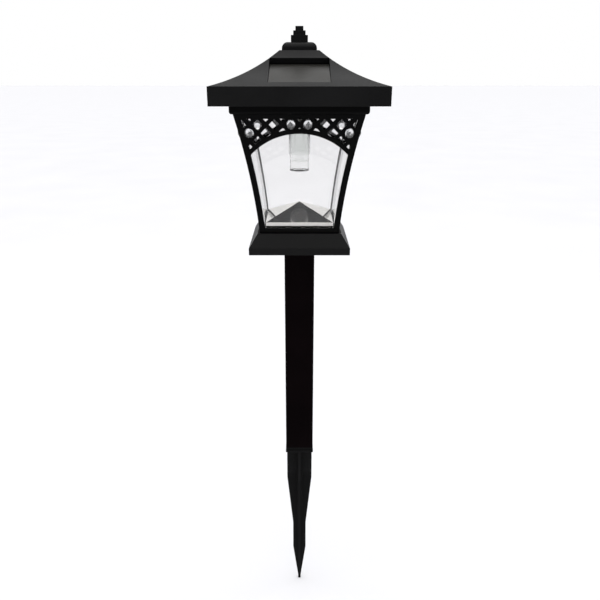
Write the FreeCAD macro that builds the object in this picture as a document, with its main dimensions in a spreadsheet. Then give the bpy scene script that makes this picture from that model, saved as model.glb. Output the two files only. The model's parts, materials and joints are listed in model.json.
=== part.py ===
import FreeCAD, Part
import math
import os

import Sketcher

# Solar path lantern: a square lantern head under a concave pagoda roof, on a square tube with a ground stake.
# The origin is at ground level on the axis, under the flange of the stake; +Z is up and the solar panel faces -Y.

doc = FreeCAD.newDocument("path_lantern")
sheet = doc.addObject("Spreadsheet::Sheet", "dim")

dimensions = {
    # stake: the flange rests on the ground and everything below it is in the soil
    "stake_depth": 168.5,
    "stake_collar_depth": 37.0,
    "stake_shank_top": 93.5,
    "stake_shank_bottom": 125.0,
    "stake_collar_width": 24.2,
    "stake_shank_width": 12.9,
    "stake_core_width": 6.4,
    "stake_fin": 2.6,
    "stake_point_width": 1.4,
    "stake_core_taper": 0.8,
    "flange_width": 26.1,
    "flange_height": 2.6,
    "flange_chamfer": 0.5,
    "neck_width": 24.6,
    "neck_height": 2.8,
    # square tube, and the plugs of the stake and of the lantern that it slides over
    "tube_width": 25.4,
    "tube_wall": 0.8,
    "tube_corner": 1.2,
    "plug_width": 23.3,
    "plug_wall": 2.2,
    "plug_length": 28.0,
    # skirt under the lantern
    "skirt_base": 205.0,
    "skirt_width": 80.6,
    "skirt_fascia": 5.6,
    "skirt_top_width": 67.2,
    "skirt_height": 16.0,
    "skirt_wall": 2.0,
    "seat_height": 2.0,
    "seat_width": 57.2,
    # cage of four flared sides
    "cage_base_width": 63.4,
    "cage_top_width": 96.2,
    "cage_top": 312.6,
    "cage_curve": 565.0,
    "side_thickness": 2.6,
    "post_face": 4.6,
    "bottom_rail": 4.0,
    "top_rail": 3.1,
    "peg_diameter": 3.0,
    "peg_spacing": 36.0,
    # arch and lattice of each side
    "arch_radius": 50.0,
    "arch_crown": 298.9,
    "arch_band": 3.5,
    "lattice_pitch": 12.24,
    "lattice_row": 305.3,
    "lattice_bar": 2.9,
    "bead_diameter": 7.2,
    "bead_thickness": 3.8,
    # clear lens inside the cage and mirror on its floor
    "lens_gap": 0.2,
    "lens_wall": 1.4,
    "lens_corner": 3.0,
    "lens_top": 312.3,
    "mirror_width": 54.6,
    "mirror_foot_width": 53.2,
    "mirror_foot": 1.1,
    "mirror_lip": 3.3,
    "mirror_rise": 12.3,
    "mirror_wall": 1.2,
    # roof
    "eave_base": 318.6,
    "eave_width": 127.3,
    "fascia_height": 13.1,
    "roof_rise": 25.3,
    "roof_top_width": 30.0,
    "roof_curve": 124.4,
    "roof_wall": 2.0,
    "roof_ledge": 0.2,
    "boss_spacing": 107.0,
    "boss_diameter": 6.4,
    # finial
    "finial_cap_width": 26.4,
    "finial_cap_height": 5.9,
    "finial_cap_round": 4.6,
    "finial_low_width": 12.9,
    "finial_low_height": 5.1,
    "finial_mid_width": 9.4,
    "finial_mid_height": 3.3,
    "finial_top_width": 6.1,
    "finial_top_height": 3.2,
    "finial_peg_diameter": 6.0,
    "finial_screw_length": 8.0,
    "washer_diameter": 8.0,
    "washer_thickness": 0.8,
    # solar panel in its recess on the front slope
    "panel_width": 44.0,
    "panel_length": 33.4,
    "panel_tilt": 22.1,
    "panel_front": 54.0,
    "panel_front_height": 334.4,
    "panel_board": 1.0,
    "panel_cell": 0.4,
    "panel_cover": 0.8,
    "panel_margin": 0.3,
    "panel_sink": 0.2,
    "recess_above_panel": 2.1,
    "wire_slot_width": 14.0,
    "wire_slot_length": 6.0,
    "wire_slot_along": 10.5,
    # tray that closes the roof, with the rim that sits on the cage
    "tray_base": 312.7,
    "rim_width": 101.6,
    "tray_wall": 2.0,
    "tray_flange_width": 122.8,
    "tray_flange_base": 320.4,
    "tray_lip_width": 85.0,
    "tray_lip_drop": 3.0,
    "tray_lip_wall": 1.6,
    "screw_head": 5.4,
    "screw_head_height": 1.7,
    "screw_slot": 0.8,
    "screw_hole": 3.2,
    "screw_core": 2.4,
    "roof_screw_length": 9.0,
    # light unit hanging from the tray
    "sleeve_diameter": 17.5,
    "sleeve_wall": 0.65,
    "sleeve_base": 280.0,
    "cup_diameter": 15.9,
    "cup_wall": 1.0,
    "cup_base": 266.6,
    "cup_floor": 7.6,
    "cup_dish_radius": 11.0,
    "cup_dish_depth": 2.4,
    "tube_flange_height": 1.0,
    "led_diameter": 5.0,
    "led_base": 300.5,
    "led_barrel_height": 5.5,
    "lead_width": 0.6,
    "lead_pitch": 2.54,
    # electronics above the tray floor
    "board_width": 42.0,
    "board_front": 23.0,
    "board_back": 12.0,
    "board_base": 318.8,
    "board_thickness": 1.2,
    "board_screw_inset": 3.0,
    "board_screw_core": 1.6,
    "board_screw_head": 3.6,
    "pillar_diameter": 5.0,
    "chip_x": 9.0,
    "chip_length": 5.0,
    "chip_leg_pitch": 1.27,
    "inductor_x": 9.5,
    "electronics_front": 8.0,
    "switch_front": 17.0,
    "switch_length": 10.0,
    "switch_depth": 5.0,
    "knob_x": 1.5,
    "knob_length": 2.6,
    "knob_depth": 2.2,
    "knob_drop": 1.6,
    # rechargeable cell, its box and its door
    "cell_diameter": 14.2,
    "cell_length": 49.5,
    "box_length": 56.0,
    "box_depth": 16.4,
    "box_front": 19.0,
    "box_top": 329.5,
    "box_wall": 1.5,
    "cell_lift": 1.6,
    "contact_width": 9.0,
    "contact_height": 12.0,
    "contact_thickness": 0.5,
    "contact_tag_width": 2.4,
    "contact_tag_rise": 2.9,
    "spring_wire": 0.7,
    "spring_radius": 4.2,
    "door_gap": 0.25,
    "door_pin": 1.5,
    "door_pin_reach": 1.2,
    "catch_length": 12.0,
    "catch_height": 1.4,
    "grip_length": 14.0,
    "grip_step": 1.6,
    "wire_diameter": 1.3,
    "wire_bend": 1.6,
    "wire_notch_x": 22.0,
    "cutting_length": 60.0,
    "hole_gap": 0.1,
}


class Size:
    """A length together with the sheet formula that gives it, so arithmetic keeps both."""

    def __init__(self, value, formula):
        self.value = value
        self.formula = formula

    def __add__(self, other):
        other = as_size(other)
        return Size(self.value + other.value, f"({self.formula} + {other.formula})")

    def __sub__(self, other):
        other = as_size(other)
        return Size(self.value - other.value, f"({self.formula} - {other.formula})")

    def __mul__(self, other):
        other = as_size(other)
        return Size(self.value * other.value, f"({self.formula} * {other.formula})")

    def __truediv__(self, other):
        other = as_size(other)
        return Size(self.value / other.value, f"({self.formula} / {other.formula})")

    def __neg__(self):
        return Size(-self.value, f"(0 - {self.formula})")

    def root(self):
        return Size(math.sqrt(self.value), f"sqrt({self.formula})")


def as_size(thing):
    return thing if isinstance(thing, Size) else Size(float(thing), f"({float(thing)})")


def fill_sheet():
    for row, (alias, number) in enumerate(dimensions.items(), start=1):
        sheet.set(f"A{row}", alias)
        sheet.set(f"B{row}", str(number))
        sheet.setAlias(f"B{row}", alias)
    doc.recompute()


def dim(alias):
    return Size(float(sheet.get(alias)), f"dim.{alias}")


def bind(thing, prop, size):
    thing.setExpression(prop, as_size(size).formula)


# ---- Placement, primitives and booleans ----


def place(thing, x=0, y=0, z=0, axis=(0, 0, 1), turn=0):
    rotation = FreeCAD.Rotation(FreeCAD.Vector(*axis), as_size(turn).value)
    thing.Placement = FreeCAD.Placement(FreeCAD.Vector(), rotation)
    bind(thing, "Placement.Base.x", x)
    bind(thing, "Placement.Base.y", y)
    bind(thing, "Placement.Base.z", z)
    if isinstance(turn, Size):
        bind(thing, "Placement.Rotation.Angle", turn)
    return thing


def block(name, wide, deep, tall, x=0, y=0, z=0):
    """A box centred on (x, y) in plan, standing on z."""
    box = doc.addObject("Part::Box", name)
    bind(box, "Length", wide)
    bind(box, "Width", deep)
    bind(box, "Height", tall)
    return place(box, as_size(x) - as_size(wide) / 2, as_size(y) - as_size(deep) / 2, z)


def rod(name, diameter, length, x=0, y=0, z=0, axis=(0, 0, 1), turn=0):
    """A cylinder from (x, y, z) along Z, or along Z turned about an axis."""
    cylinder = doc.addObject("Part::Cylinder", name)
    bind(cylinder, "Radius", as_size(diameter) / 2)
    bind(cylinder, "Height", length)
    return place(cylinder, x, y, z, axis, turn)


def rod_along_x(name, diameter, length, x, y, z):
    return rod(name, diameter, length, x, y, z, axis=(0, 1, 0), turn=90)


def rod_along_y(name, diameter, length, x, y, z):
    return rod(name, diameter, length, x, y, z, axis=(1, 0, 0), turn=-90)


def frustum(name, low_width, high_width, height, z):
    """A square frustum centred on the axis, from z up."""
    wedge = doc.addObject("Part::Wedge", name)
    low = as_size(low_width) / 2
    high = as_size(high_width) / 2
    for prop, size in (
        ("Xmin", -low), ("Zmin", -low), ("Xmax", low), ("Zmax", low),
        ("X2min", -high), ("Z2min", -high), ("X2max", high), ("Z2max", high),
        ("Ymin", 0), ("Ymax", height),
    ):
        bind(wedge, prop, size)
    return place(wedge, z=z, axis=(1, 0, 0), turn=90)


def fuse(name, parts):
    union = doc.addObject("Part::MultiFuse", name)
    union.Shapes = parts
    union.Refine = True
    return union


def cut(name, base, tools):
    """Base minus one tool or several."""
    difference = doc.addObject("Part::Cut", name)
    difference.Base = base
    difference.Tool = tools[0] if len(tools) == 1 else group(name + "_tools", tools)
    difference.Refine = True
    return difference


def common(name, first, second):
    overlap = doc.addObject("Part::Common", name)
    overlap.Base = first
    overlap.Tool = second
    return overlap


def group(name, parts, turn=0):
    """Separate solids kept side by side, turned together about the axis."""
    compound = doc.addObject("Part::Compound", name)
    compound.Links = parts
    return place(compound, turn=turn)


# ---- Sketched bodies ----


def new_body(name):
    return doc.addObject("PartDesign::Body", name)


def draw(body, name, plane, loops, height=0):
    """A sketch on an origin plane of the body, closed loop by closed loop.

    A corner is (x, y), or (x, y, radius) where an arc of that radius runs to the next corner:
    a positive radius bulges to the right of the way the loop runs, a negative one to the left.
    """
    sketch = body.newObject("Sketcher::SketchObject", name)
    origin_plane = next(f for f in body.Origin.OriginFeatures if f.Role == plane)
    sketch.AttachmentSupport = [(origin_plane, "")]
    sketch.MapMode = "FlatFace"
    bind(sketch, "AttachmentOffset.Base.z", height)
    for loop in loops:
        draw_loop(sketch, loop)
    return sketch


def draw_loop(sketch, corners):
    first = sketch.GeometryCount
    count = len(corners)
    starts = []
    for index, corner in enumerate(corners):
        here = point(corner)
        there = point(corners[(index + 1) % count])
        if len(corner) == 3:
            starts.append(add_arc(sketch, here, there, corner[2]))
        else:
            sketch.addGeometry(Part.LineSegment(here, there), False)
            starts.append(1)
    for index in range(count):
        following = (index + 1) % count
        end = 3 - starts[index]
        ends_meet = Sketcher.Constraint(
            "Coincident", first + index, end, first + following, starts[following]
        )
        sketch.addConstraint(ends_meet)
    for index, corner in enumerate(corners):
        for kind, size in (("DistanceX", corner[0]), ("DistanceY", corner[1])):
            size = as_size(size)
            held = Sketcher.Constraint(kind, -1, 1, first + index, starts[index], size.value)
            number = sketch.addConstraint(held)
            bind(sketch, f"Constraints[{number}]", size)
        if len(corner) == 3:
            radius = as_size(corner[2])
            if radius.value < 0:
                radius = -radius
            held = Sketcher.Constraint("Radius", first + index, radius.value)
            number = sketch.addConstraint(held)
            bind(sketch, f"Constraints[{number}]", radius)


def point(corner):
    return FreeCAD.Vector(as_size(corner[0]).value, as_size(corner[1]).value, 0)


def add_arc(sketch, here, there, radius):
    """Adds the arc and returns which of its ends, 1 or 2, lies at the corner it starts from."""
    bulge = as_size(radius).value
    chord = there - here
    half = chord.Length / 2
    right = FreeCAD.Vector(chord.y, -chord.x, 0).normalize()
    rise = abs(bulge) - math.sqrt(bulge * bulge - half * half)
    middle = here + chord / 2 + right * math.copysign(rise, bulge)
    number = sketch.addGeometry(Part.Arc(here, middle, there), False)
    first_end = sketch.getPoint(number, 1)
    return 1 if first_end.distanceToPoint(here) < first_end.distanceToPoint(there) else 2


def pad(body, name, plane, loops, length, height=0, centred=False):
    sketch = draw(body, name + "_sketch", plane, loops, height)
    feature = body.newObject("PartDesign::Pad", name)
    feature.Profile = sketch
    bind(feature, "Length", length)
    feature.Midplane = centred
    sketch.Visibility = False
    return feature


def pocket_through(body, name, plane, loops):
    """Cuts the loops right through, both ways from the plane."""
    sketch = draw(body, name + "_sketch", plane, loops)
    feature = body.newObject("PartDesign::Pocket", name)
    feature.Profile = sketch
    feature.Type = "ThroughAll"
    feature.Midplane = True
    return feature


def round_edges(body, name, kind, size, wanted):
    """Adds a Fillet or a Chamfer to the edges of the body that the test picks by their boxes."""
    doc.recompute()
    base = body.Tip
    edges = [f"Edge{n}" for n, edge in enumerate(body.Shape.Edges, start=1) if wanted(edge.BoundBox)]
    feature = body.newObject("PartDesign::" + kind, name)
    feature.Base = (base, edges)
    bind(feature, "Radius" if kind == "Fillet" else "Size", size)
    body.Tip = feature


def square(width):
    half = as_size(width) / 2
    return [(-half, -half), (half, -half), (half, half), (-half, half)]


def arc_centre(low, high, radius, side):
    """Centre of the arc of that radius through two (x, z) points; side 1 or -1 picks which way it bulges."""
    run = high[0] - low[0]
    rise = high[1] - low[1]
    chord = (run * run + rise * rise).root()
    reach = (radius * radius - chord * chord / 4).root() * side
    return (low[0] + high[0]) / 2 + reach * rise / chord, (low[1] + high[1]) / 2 - reach * run / chord


def finish(thing, name):
    thing.Label = name
    return thing


# ---- Stake and tube ----


def ground_stake():
    """Cross-finned stake; the flange rests on the soil and the plug goes up into the tube."""
    body = new_body("stake_body")
    collar = dim("stake_collar_width") / 2
    shank = dim("stake_shank_width") / 2
    tip = dim("stake_point_width") / 2
    outline = [
        (-collar, 0), (-collar, -dim("stake_collar_depth")), (-shank, -dim("stake_shank_top")),
        (-shank, -dim("stake_shank_bottom")), (-tip, -dim("stake_depth")), (tip, -dim("stake_depth")),
        (shank, -dim("stake_shank_bottom")), (shank, -dim("stake_shank_top")),
        (collar, -dim("stake_collar_depth")), (collar, 0),
    ]
    pad(body, "fin_across", "XZ_Plane", [outline], dim("stake_fin"), centred=True)
    pad(body, "fin_along", "YZ_Plane", [outline], dim("stake_fin"), centred=True)
    core = frustum("stake_core", dim("stake_core_width"), dim("stake_core_width") * dim("stake_core_taper"),
                   dim("stake_shank_bottom"), 0)
    place(core, axis=(1, 0, 0), turn=-90)
    point_length = dim("stake_depth") - dim("stake_shank_bottom")
    core_low_width = dim("stake_core_width") * dim("stake_core_taper")
    core_end = frustum("stake_core_end", core_low_width, tip * 2, point_length, 0)
    place(core_end, z=-dim("stake_shank_bottom"), axis=(1, 0, 0), turn=-90)
    flange = new_body("stake_flange_body")
    pad(flange, "flange", "XY_Plane", [square(dim("flange_width"))], dim("flange_height"))
    round_edges(flange, "flange_chamfer", "Chamfer", dim("flange_chamfer"), lambda box: box.ZLength < 0.1)
    neck = block("stake_neck", dim("neck_width"), dim("neck_width"), dim("neck_height"),
                 z=dim("flange_height"))
    top = dim("flange_height") + dim("neck_height")
    plug = block("stake_plug", dim("plug_width"), dim("plug_width"), dim("plug_length"), z=top)
    hollow_width = dim("plug_width") - dim("plug_wall") * 2
    hollow = block("stake_plug_hollow", hollow_width, hollow_width, dim("plug_length"), z=top)
    plug_shell = cut("stake_plug_shell", plug, [hollow])
    return finish(fuse("stake", [body, core, core_end, flange, neck, plug_shell]), "ground_stake")


def post_tube():
    """Square tube from the shoulder of the stake up into the skirt."""
    body = new_body("tube_body")
    base = dim("flange_height") + dim("neck_height")
    top = dim("skirt_base") + dim("skirt_height") - dim("skirt_wall") - 0.1
    pad(body, "tube_wall_pad", "XY_Plane", [square(dim("tube_width"))], top - base, base)
    round_edges(body, "tube_rounding", "Fillet", dim("tube_corner"), lambda box: box.ZLength > 1)
    pocket_through(body, "tube_bore", "XY_Plane", [square(dim("tube_width") - dim("tube_wall") * 2)])
    return finish(body, "post_tube")


# ---- Skirt and cage ----


def base_skirt():
    """Sloped skirt, open below, with the seat for the lens on top and the plug for the tube inside."""
    base = dim("skirt_base")
    wall = dim("skirt_wall")
    slope = dim("skirt_height") - dim("skirt_fascia")
    width = dim("skirt_width")
    top_width = dim("skirt_top_width")
    fascia = block("skirt_fascia_block", width, width, dim("skirt_fascia"), z=base)
    cone = frustum("skirt_slope_block", width - 0.4, top_width, slope, base + dim("skirt_fascia"))
    seat = block("skirt_seat", dim("seat_width"), dim("seat_width"), dim("seat_height"),
                 z=base + dim("skirt_height"))
    outside = fuse("skirt_outside", [fascia, cone, seat])
    low_hollow = block("skirt_low_hollow", width - wall * 2, width - wall * 2, dim("skirt_fascia"), z=base)
    high_hollow = frustum("skirt_high_hollow", width - wall * 2, top_width - wall * 2.4, slope - wall,
                          base + dim("skirt_fascia"))
    top = base + dim("skirt_height")
    holes = [
        rod(f"peg_hole_{n}", dim("peg_diameter") + dim("hole_gap"), wall * 3, x, y, top - wall * 1.5)
        for n, (x, y) in enumerate(peg_places())
    ]
    shell = cut("skirt_shell", outside, [low_hollow, high_hollow] + holes)
    plug_base = top - wall - dim("plug_length")
    plug = block("skirt_plug", dim("plug_width"), dim("plug_width"), dim("plug_length"), z=plug_base)
    hollow_width = dim("plug_width") - dim("plug_wall") * 2
    hollow = block("skirt_plug_hollow", hollow_width, hollow_width, dim("plug_length"), z=plug_base)
    plug_shell = cut("skirt_plug_shell", plug, [hollow])
    return finish(fuse("skirt", [shell, plug_shell]), "base_skirt")


def peg_places():
    """Two pegs under each side of the cage, in the skirt's top wall."""
    out = dim("cage_base_width") / 2 - dim("side_thickness") / 2
    along = dim("peg_spacing") / 2
    return [
        (x, y)
        for sign in (-1, 1)
        for x, y in ((along, out * sign), (-along, out * sign), (out * sign, along), (out * sign, -along))
    ]


def cage_half(z, inset=0):
    """Half width of the cage's flared outside at a height, less an inset."""
    low = (dim("cage_base_width") / 2, dim("skirt_base") + dim("skirt_height"))
    high = (dim("cage_top_width") / 2, dim("cage_top"))
    radius = dim("cage_curve")
    centre_x, centre_z = arc_centre(low, high, radius, 1)
    drop = as_size(z) - centre_z
    return centre_x - (radius * radius - drop * drop).root() - inset


def flared_loop(low, high, inset):
    """Outline with the cage's curved sides between two heights."""
    radius = dim("cage_curve") + inset
    bottom = cage_half(low, inset)
    top = cage_half(high, inset)
    return [(-bottom, low), (bottom, low, -radius), (top, high), (-top, high, -radius)]


def flared_block(name, low, high, inset, corner):
    """Square block whose four sides flare as the cage does, with rounded corners."""
    body = new_body(name)
    reach = dim("cage_top_width")
    pad(body, name + "_across", "XZ_Plane", [flared_loop(low, high, inset)], reach, centred=True)
    frame = [(-reach, low - 1), (reach, low - 1), (reach, high + 1), (-reach, high + 1)]
    pocket_through(body, name + "_along", "YZ_Plane", [frame, flared_loop(low, high, inset)])
    round_edges(body, name + "_rounding", "Fillet", corner, lambda box: box.ZLength > 5)
    return body


def between_posts(name, low, high):
    """Prism through the front side, between the inner edges of its posts."""
    body = new_body(name)
    loop = flared_loop(low, high, dim("post_face"))
    pad(body, name + "_pad", "XZ_Plane", [loop], dim("cage_top_width"))
    return body


def lattice_openings():
    """Diamond openings between the crossed bars, trimmed by the arch band, the posts and the top rail."""
    half_pitch = dim("lattice_pitch") / 2
    opening = (dim("lattice_pitch") / math.sqrt(2)) - dim("lattice_bar")
    depth = dim("cage_top_width") / 2
    diamonds = []
    for row in range(-1, 4):
        for step in range(-7, 8):
            if (row + step) % 2 == 0 or (abs(step), row) in bead_cells:
                continue
            diamond = doc.addObject("Part::Box", f"diamond_{row + 1}_{step + 7}")
            bind(diamond, "Length", opening)
            bind(diamond, "Height", opening)
            bind(diamond, "Width", depth)
            corner_drop = opening / math.sqrt(2)
            place(diamond, half_pitch * step, -depth, dim("lattice_row") - half_pitch * row - corner_drop,
                  axis=(0, 1, 0), turn=-45)
            diamonds.append(diamond)
    return group("diamonds", diamonds)


# A lattice cell is counted in half pitches: steps out from the middle and rows down from the top crossing.
bead_cells = {(1, 0), (6, 1)}


def bead_places():
    """Centres of the round beads on the front side, as (x, z)."""
    half_pitch = dim("lattice_pitch") / 2
    return [
        (half_pitch * (step * sign), dim("lattice_row") - half_pitch * row)
        for step, row in sorted(bead_cells)
        for sign in (-1, 1)
    ]


def cage_side():
    """The front side: a curved, mitred panel with its window, arch, lattice and two pegs."""
    low = dim("skirt_base") + dim("skirt_height")
    high = dim("cage_top")
    thick = dim("side_thickness")
    depth = dim("cage_top_width") / 2
    blank = new_body("side_blank")
    strip = [
        (-cage_half(low), low), (-cage_half(low, thick), low, dim("cage_curve") + thick),
        (-cage_half(high, thick), high), (-cage_half(high), high, -dim("cage_curve")),
    ]
    pad(blank, "side_strip", "YZ_Plane", [strip], dim("cage_top_width") + 2, centred=True)
    reach = depth + 10
    mitre = [(-reach, -reach), (0, 0), (reach, -reach), (reach, 10), (-reach, 10)]
    pocket_through(blank, "side_mitre", "XY_Plane", [mitre])
    arch_z = dim("arch_crown") - dim("arch_radius")
    arch = rod_along_y("arch_inside", dim("arch_radius") * 2, depth, 0, -depth, arch_z)
    window_span = between_posts("window_span", low + dim("bottom_rail"), high - dim("top_rail"))
    window = common("window", window_span, arch)
    band = rod_along_y("arch_outside", (dim("arch_radius") + dim("arch_band")) * 2, depth, 0, -depth, arch_z)
    above = between_posts("spandrel_span", arch_z + 10, high - dim("top_rail"))
    spandrel = cut("spandrel", above, [band])
    openings = common("lattice_holes", lattice_openings(), spandrel)
    seats = [
        rod_along_y(f"bead_seat_{n}", dim("bead_diameter") + dim("hole_gap"), depth, x, -depth, z)
        for n, (x, z) in enumerate(bead_places())
    ]
    opened = cut("side_opened", blank, [window, openings] + seats)
    along = dim("peg_spacing") / 2
    out = dim("cage_base_width") / 2 - thick / 2
    pegs = [
        rod(f"side_peg_{sign}", dim("peg_diameter"), dim("skirt_wall") + 1.0, along * sign, -out,
            low - dim("skirt_wall"))
        for sign in (-1, 1)
    ]
    return fuse("side_front", [opened] + pegs)


def cage_sides():
    front = cage_side()
    names = ("cage_side_front", "cage_side_right", "cage_side_back", "cage_side_left")
    return [finish(group(name + "_placed", [front], turn=90 * n), name) for n, name in enumerate(names)]


def lattice_beads():
    """Round clear beads in the lattice, four to a side: the part that two spheres share.

    They stand proud of the side's face and stay clear of the lens behind it.
    """
    radius = dim("bead_diameter") / 2
    half = dim("bead_thickness") / 2
    sphere_radius = (radius * radius + half * half) / (half * 2)
    beads = []
    for n, (x, z) in enumerate(bead_places()):
        middle = cage_half(z, dim("side_thickness") / 4)
        halves = []
        for sign in (-1, 1):
            ball = doc.addObject("Part::Sphere", f"bead_ball_{n}_{sign + 1}")
            bind(ball, "Radius", sphere_radius)
            place(ball, x, -middle + (sphere_radius - half) * sign, z)
            halves.append(ball)
        beads.append(common(f"bead_{n}", *halves))
    sides = [group(f"beads_side_{n}", beads, turn=90 * n) for n in range(4)]
    return finish(group("beads", sides), "lattice_beads")


def lens():
    """One clear box with a floor, flared with the cage and open at the top."""
    floor = dim("skirt_base") + dim("skirt_height") + dim("seat_height")
    outside = dim("side_thickness") + dim("lens_gap")
    wall = dim("lens_wall")
    outer = flared_block("lens_outer", floor, dim("lens_top"), outside, dim("lens_corner"))
    inner = flared_block("lens_inner", floor + wall, dim("lens_top") + 1, outside + wall,
                         dim("lens_corner") - wall)
    return finish(cut("lens_shell", outer, [inner]), "clear_lens")


def mirror_pyramid():
    """Bright pyramid on the lens floor, hollow below."""
    floor = dim("skirt_base") + dim("skirt_height") + dim("seat_height") + dim("lens_wall")
    width = dim("mirror_width")
    wall = dim("mirror_wall")
    lip_base = floor + dim("mirror_foot")
    slope_base = lip_base + dim("mirror_lip")
    foot = block("mirror_foot_block", dim("mirror_foot_width"), dim("mirror_foot_width"),
                 dim("mirror_foot") + 1, z=floor)
    lip = block("mirror_lip_block", width, width, dim("mirror_lip"), z=lip_base)
    pyramid = frustum("mirror_slopes", width, 0.2, dim("mirror_rise"), slope_base)
    outside = fuse("mirror_outside", [foot, lip, pyramid])
    inner_width = dim("mirror_foot_width") - wall * 2
    low_hollow = block("mirror_low_hollow", inner_width, inner_width, slope_base - floor, z=floor)
    high_hollow = frustum("mirror_high_hollow", inner_width, 0.2, dim("mirror_rise") - wall * 1.3, slope_base)
    return finish(cut("mirror_shell", outside, [low_hollow, high_hollow]), "mirror_pyramid")


# ---- Roof ----


def roof_points(inset):
    """Ends of the concave slope's arc, as (half width, height), for the outside or a surface under it."""
    eave = (dim("eave_width") / 2 - dim("roof_ledge"), dim("eave_base") + dim("fascia_height"))
    crest = (dim("roof_top_width") / 2, eave[1] + dim("roof_rise"))
    radius = dim("roof_curve")
    centre_x, centre_z = arc_centre(crest, eave, radius, -1)
    if not inset:
        return eave, crest, radius
    radius = radius + inset
    low_x = dim("eave_width") / 2 - inset
    high_z = crest[1] - inset
    from_centre = low_x - centre_x
    low_z = centre_z - (radius * radius - from_centre * from_centre).root()
    drop = high_z - centre_z
    high_x = centre_x - (radius * radius - drop * drop).root()
    return (low_x, low_z), (high_x, high_z), radius


def roof_block(name, low, inset):
    """Solid pagoda shape down to a height: the part that two crossed profiles share."""
    eave, crest, radius = roof_points(inset)
    half = dim("eave_width") / 2 - inset
    loop = [
        (-half, low), (half, low), (half, eave[1], -radius),
        crest, (-crest[0], crest[1], -radius), (-half, eave[1]),
    ]
    body = new_body(name)
    pad(body, name + "_across", "XZ_Plane", [loop], half * 2, centred=True)
    reach = dim("eave_width")
    frame = [(-reach, low - 1), (reach, low - 1), (reach, crest[1] + 1), (-reach, crest[1] + 1)]
    pocket_through(body, name + "_along", "YZ_Plane", [frame, loop])
    return body


def tilted_block(name, wide, long, thick, side=0, along=0, depth=0):
    """A block on the panel's plane: `along` runs up the slope from its front edge, `depth` is below its face."""
    box = doc.addObject("Part::Box", name)
    bind(box, "Length", wide)
    bind(box, "Width", long)
    bind(box, "Height", thick)
    tilt = dim("panel_tilt")
    sine = math.sin(math.radians(tilt.value))
    cosine = math.cos(math.radians(tilt.value))
    under = as_size(depth)
    up = as_size(along)
    y = -dim("panel_front") + up * cosine + under * sine
    z = dim("panel_front_height") + up * sine - under * cosine
    return place(box, as_size(side) - as_size(wide) / 2, y, z, axis=(1, 0, 0), turn=tilt)


def panel_depth():
    return dim("panel_board") + dim("panel_cell") + dim("panel_cover")


def corner_places(spacing):
    half = as_size(spacing) / 2
    return [(half * a, half * b) for a in (-1, 1) for b in (-1, 1)]


def roof_shell():
    """Concave pagoda roof: thin shell, panel recess in the front slope, four screw bosses, finial hole."""
    wall = dim("roof_wall")
    outer = roof_block("roof_outer", dim("eave_base"), 0)
    inner = roof_block("roof_inner", dim("eave_base") - 1, wall)
    shell = cut("roof_thin", outer, [inner])
    margin = dim("panel_margin")
    wide = dim("panel_width") + margin * 2
    long = dim("panel_length") + margin * 2 + dim("recess_above_panel")
    deep = panel_depth() + dim("panel_sink")
    through = dim("cutting_length")
    bed = tilted_block("recess_bed", wide + wall * 2, long + wall * 2, deep + wall + 6,
                       along=-margin - wall, depth=deep + wall)
    bosses = [
        rod(f"roof_boss_{n}", dim("boss_diameter"), through, x, y, dim("tray_flange_base") + dim("tray_wall"))
        for n, (x, y) in enumerate(corner_places(dim("boss_spacing")))
    ]
    added = common("roof_added", group("roof_inside_parts", [bed] + bosses),
                   roof_block("roof_limit", dim("eave_base"), 0))
    full = fuse("roof_full", [shell, added])
    recess = tilted_block("recess", wide, long, through, along=-margin, depth=deep)
    under = deep + wall * 2
    wire_hole = tilted_block("recess_wire_hole", dim("wire_slot_width"), dim("wire_slot_length"), under,
                             along=dim("wire_slot_along"), depth=under)
    crest = dim("eave_base") + dim("fascia_height") + dim("roof_rise")
    finial_bore = dim("finial_peg_diameter") + dim("hole_gap") * 2
    finial_hole = rod("finial_hole", finial_bore, wall * 3, z=crest - wall * 2)
    pilots = [
        rod(f"roof_pilot_{n}", dim("screw_core"), dim("roof_screw_length") + 1, x, y, dim("tray_flange_base"))
        for n, (x, y) in enumerate(corner_places(dim("boss_spacing")))
    ]
    return finish(cut("roof", full, [recess, wire_hole, finial_hole] + pilots), "roof_shell")


def finial():
    """Square stepped finial on a cap with rounded shoulders, held by a screw from below."""
    crest = dim("eave_base") + dim("fascia_height") + dim("roof_rise")
    body = new_body("finial_cap")
    pad(body, "cap", "XY_Plane", [square(dim("finial_cap_width"))], dim("finial_cap_height"), crest)
    top = crest + dim("finial_cap_height")
    round_edges(body, "cap_rounding", "Fillet", dim("finial_cap_round"), lambda box: box.ZMin > top.value - 0.1)
    steps = []
    for level in ("low", "mid", "top"):
        width = dim(f"finial_{level}_width")
        steps.append(block(f"finial_{level}", width, width, dim(f"finial_{level}_height"), z=top))
        top = top + dim(f"finial_{level}_height")
    peg = rod("finial_peg", dim("finial_peg_diameter"), 2, z=crest - 2)
    pilot = rod("finial_pilot", dim("screw_core"), dim("finial_screw_length") + 1, z=crest - 2)
    solid = fuse("finial_solid", [body, peg] + steps)
    return finish(cut("finial_drilled", solid, [pilot]), "finial")


def screw(name, x, y, seat, length):
    """A pan-head self-tapping screw that points up, its head under the seat."""
    head = dim("screw_head")
    head_height = dim("screw_head_height")
    slit = dim("screw_slot")
    dome = rod(name + "_head", head, head_height, x, y, seat - head_height)
    stem = rod(name + "_stem", dim("screw_core"), length, x, y, seat)
    slot = block(name + "_slot", head / 2, slit, slit, x, y, seat - head_height)
    cross = block(name + "_cross", slit, head / 2, slit, x, y, seat - head_height)
    return cut(name, fuse(name + "_blank", [dome, stem]), [slot, cross])


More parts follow.
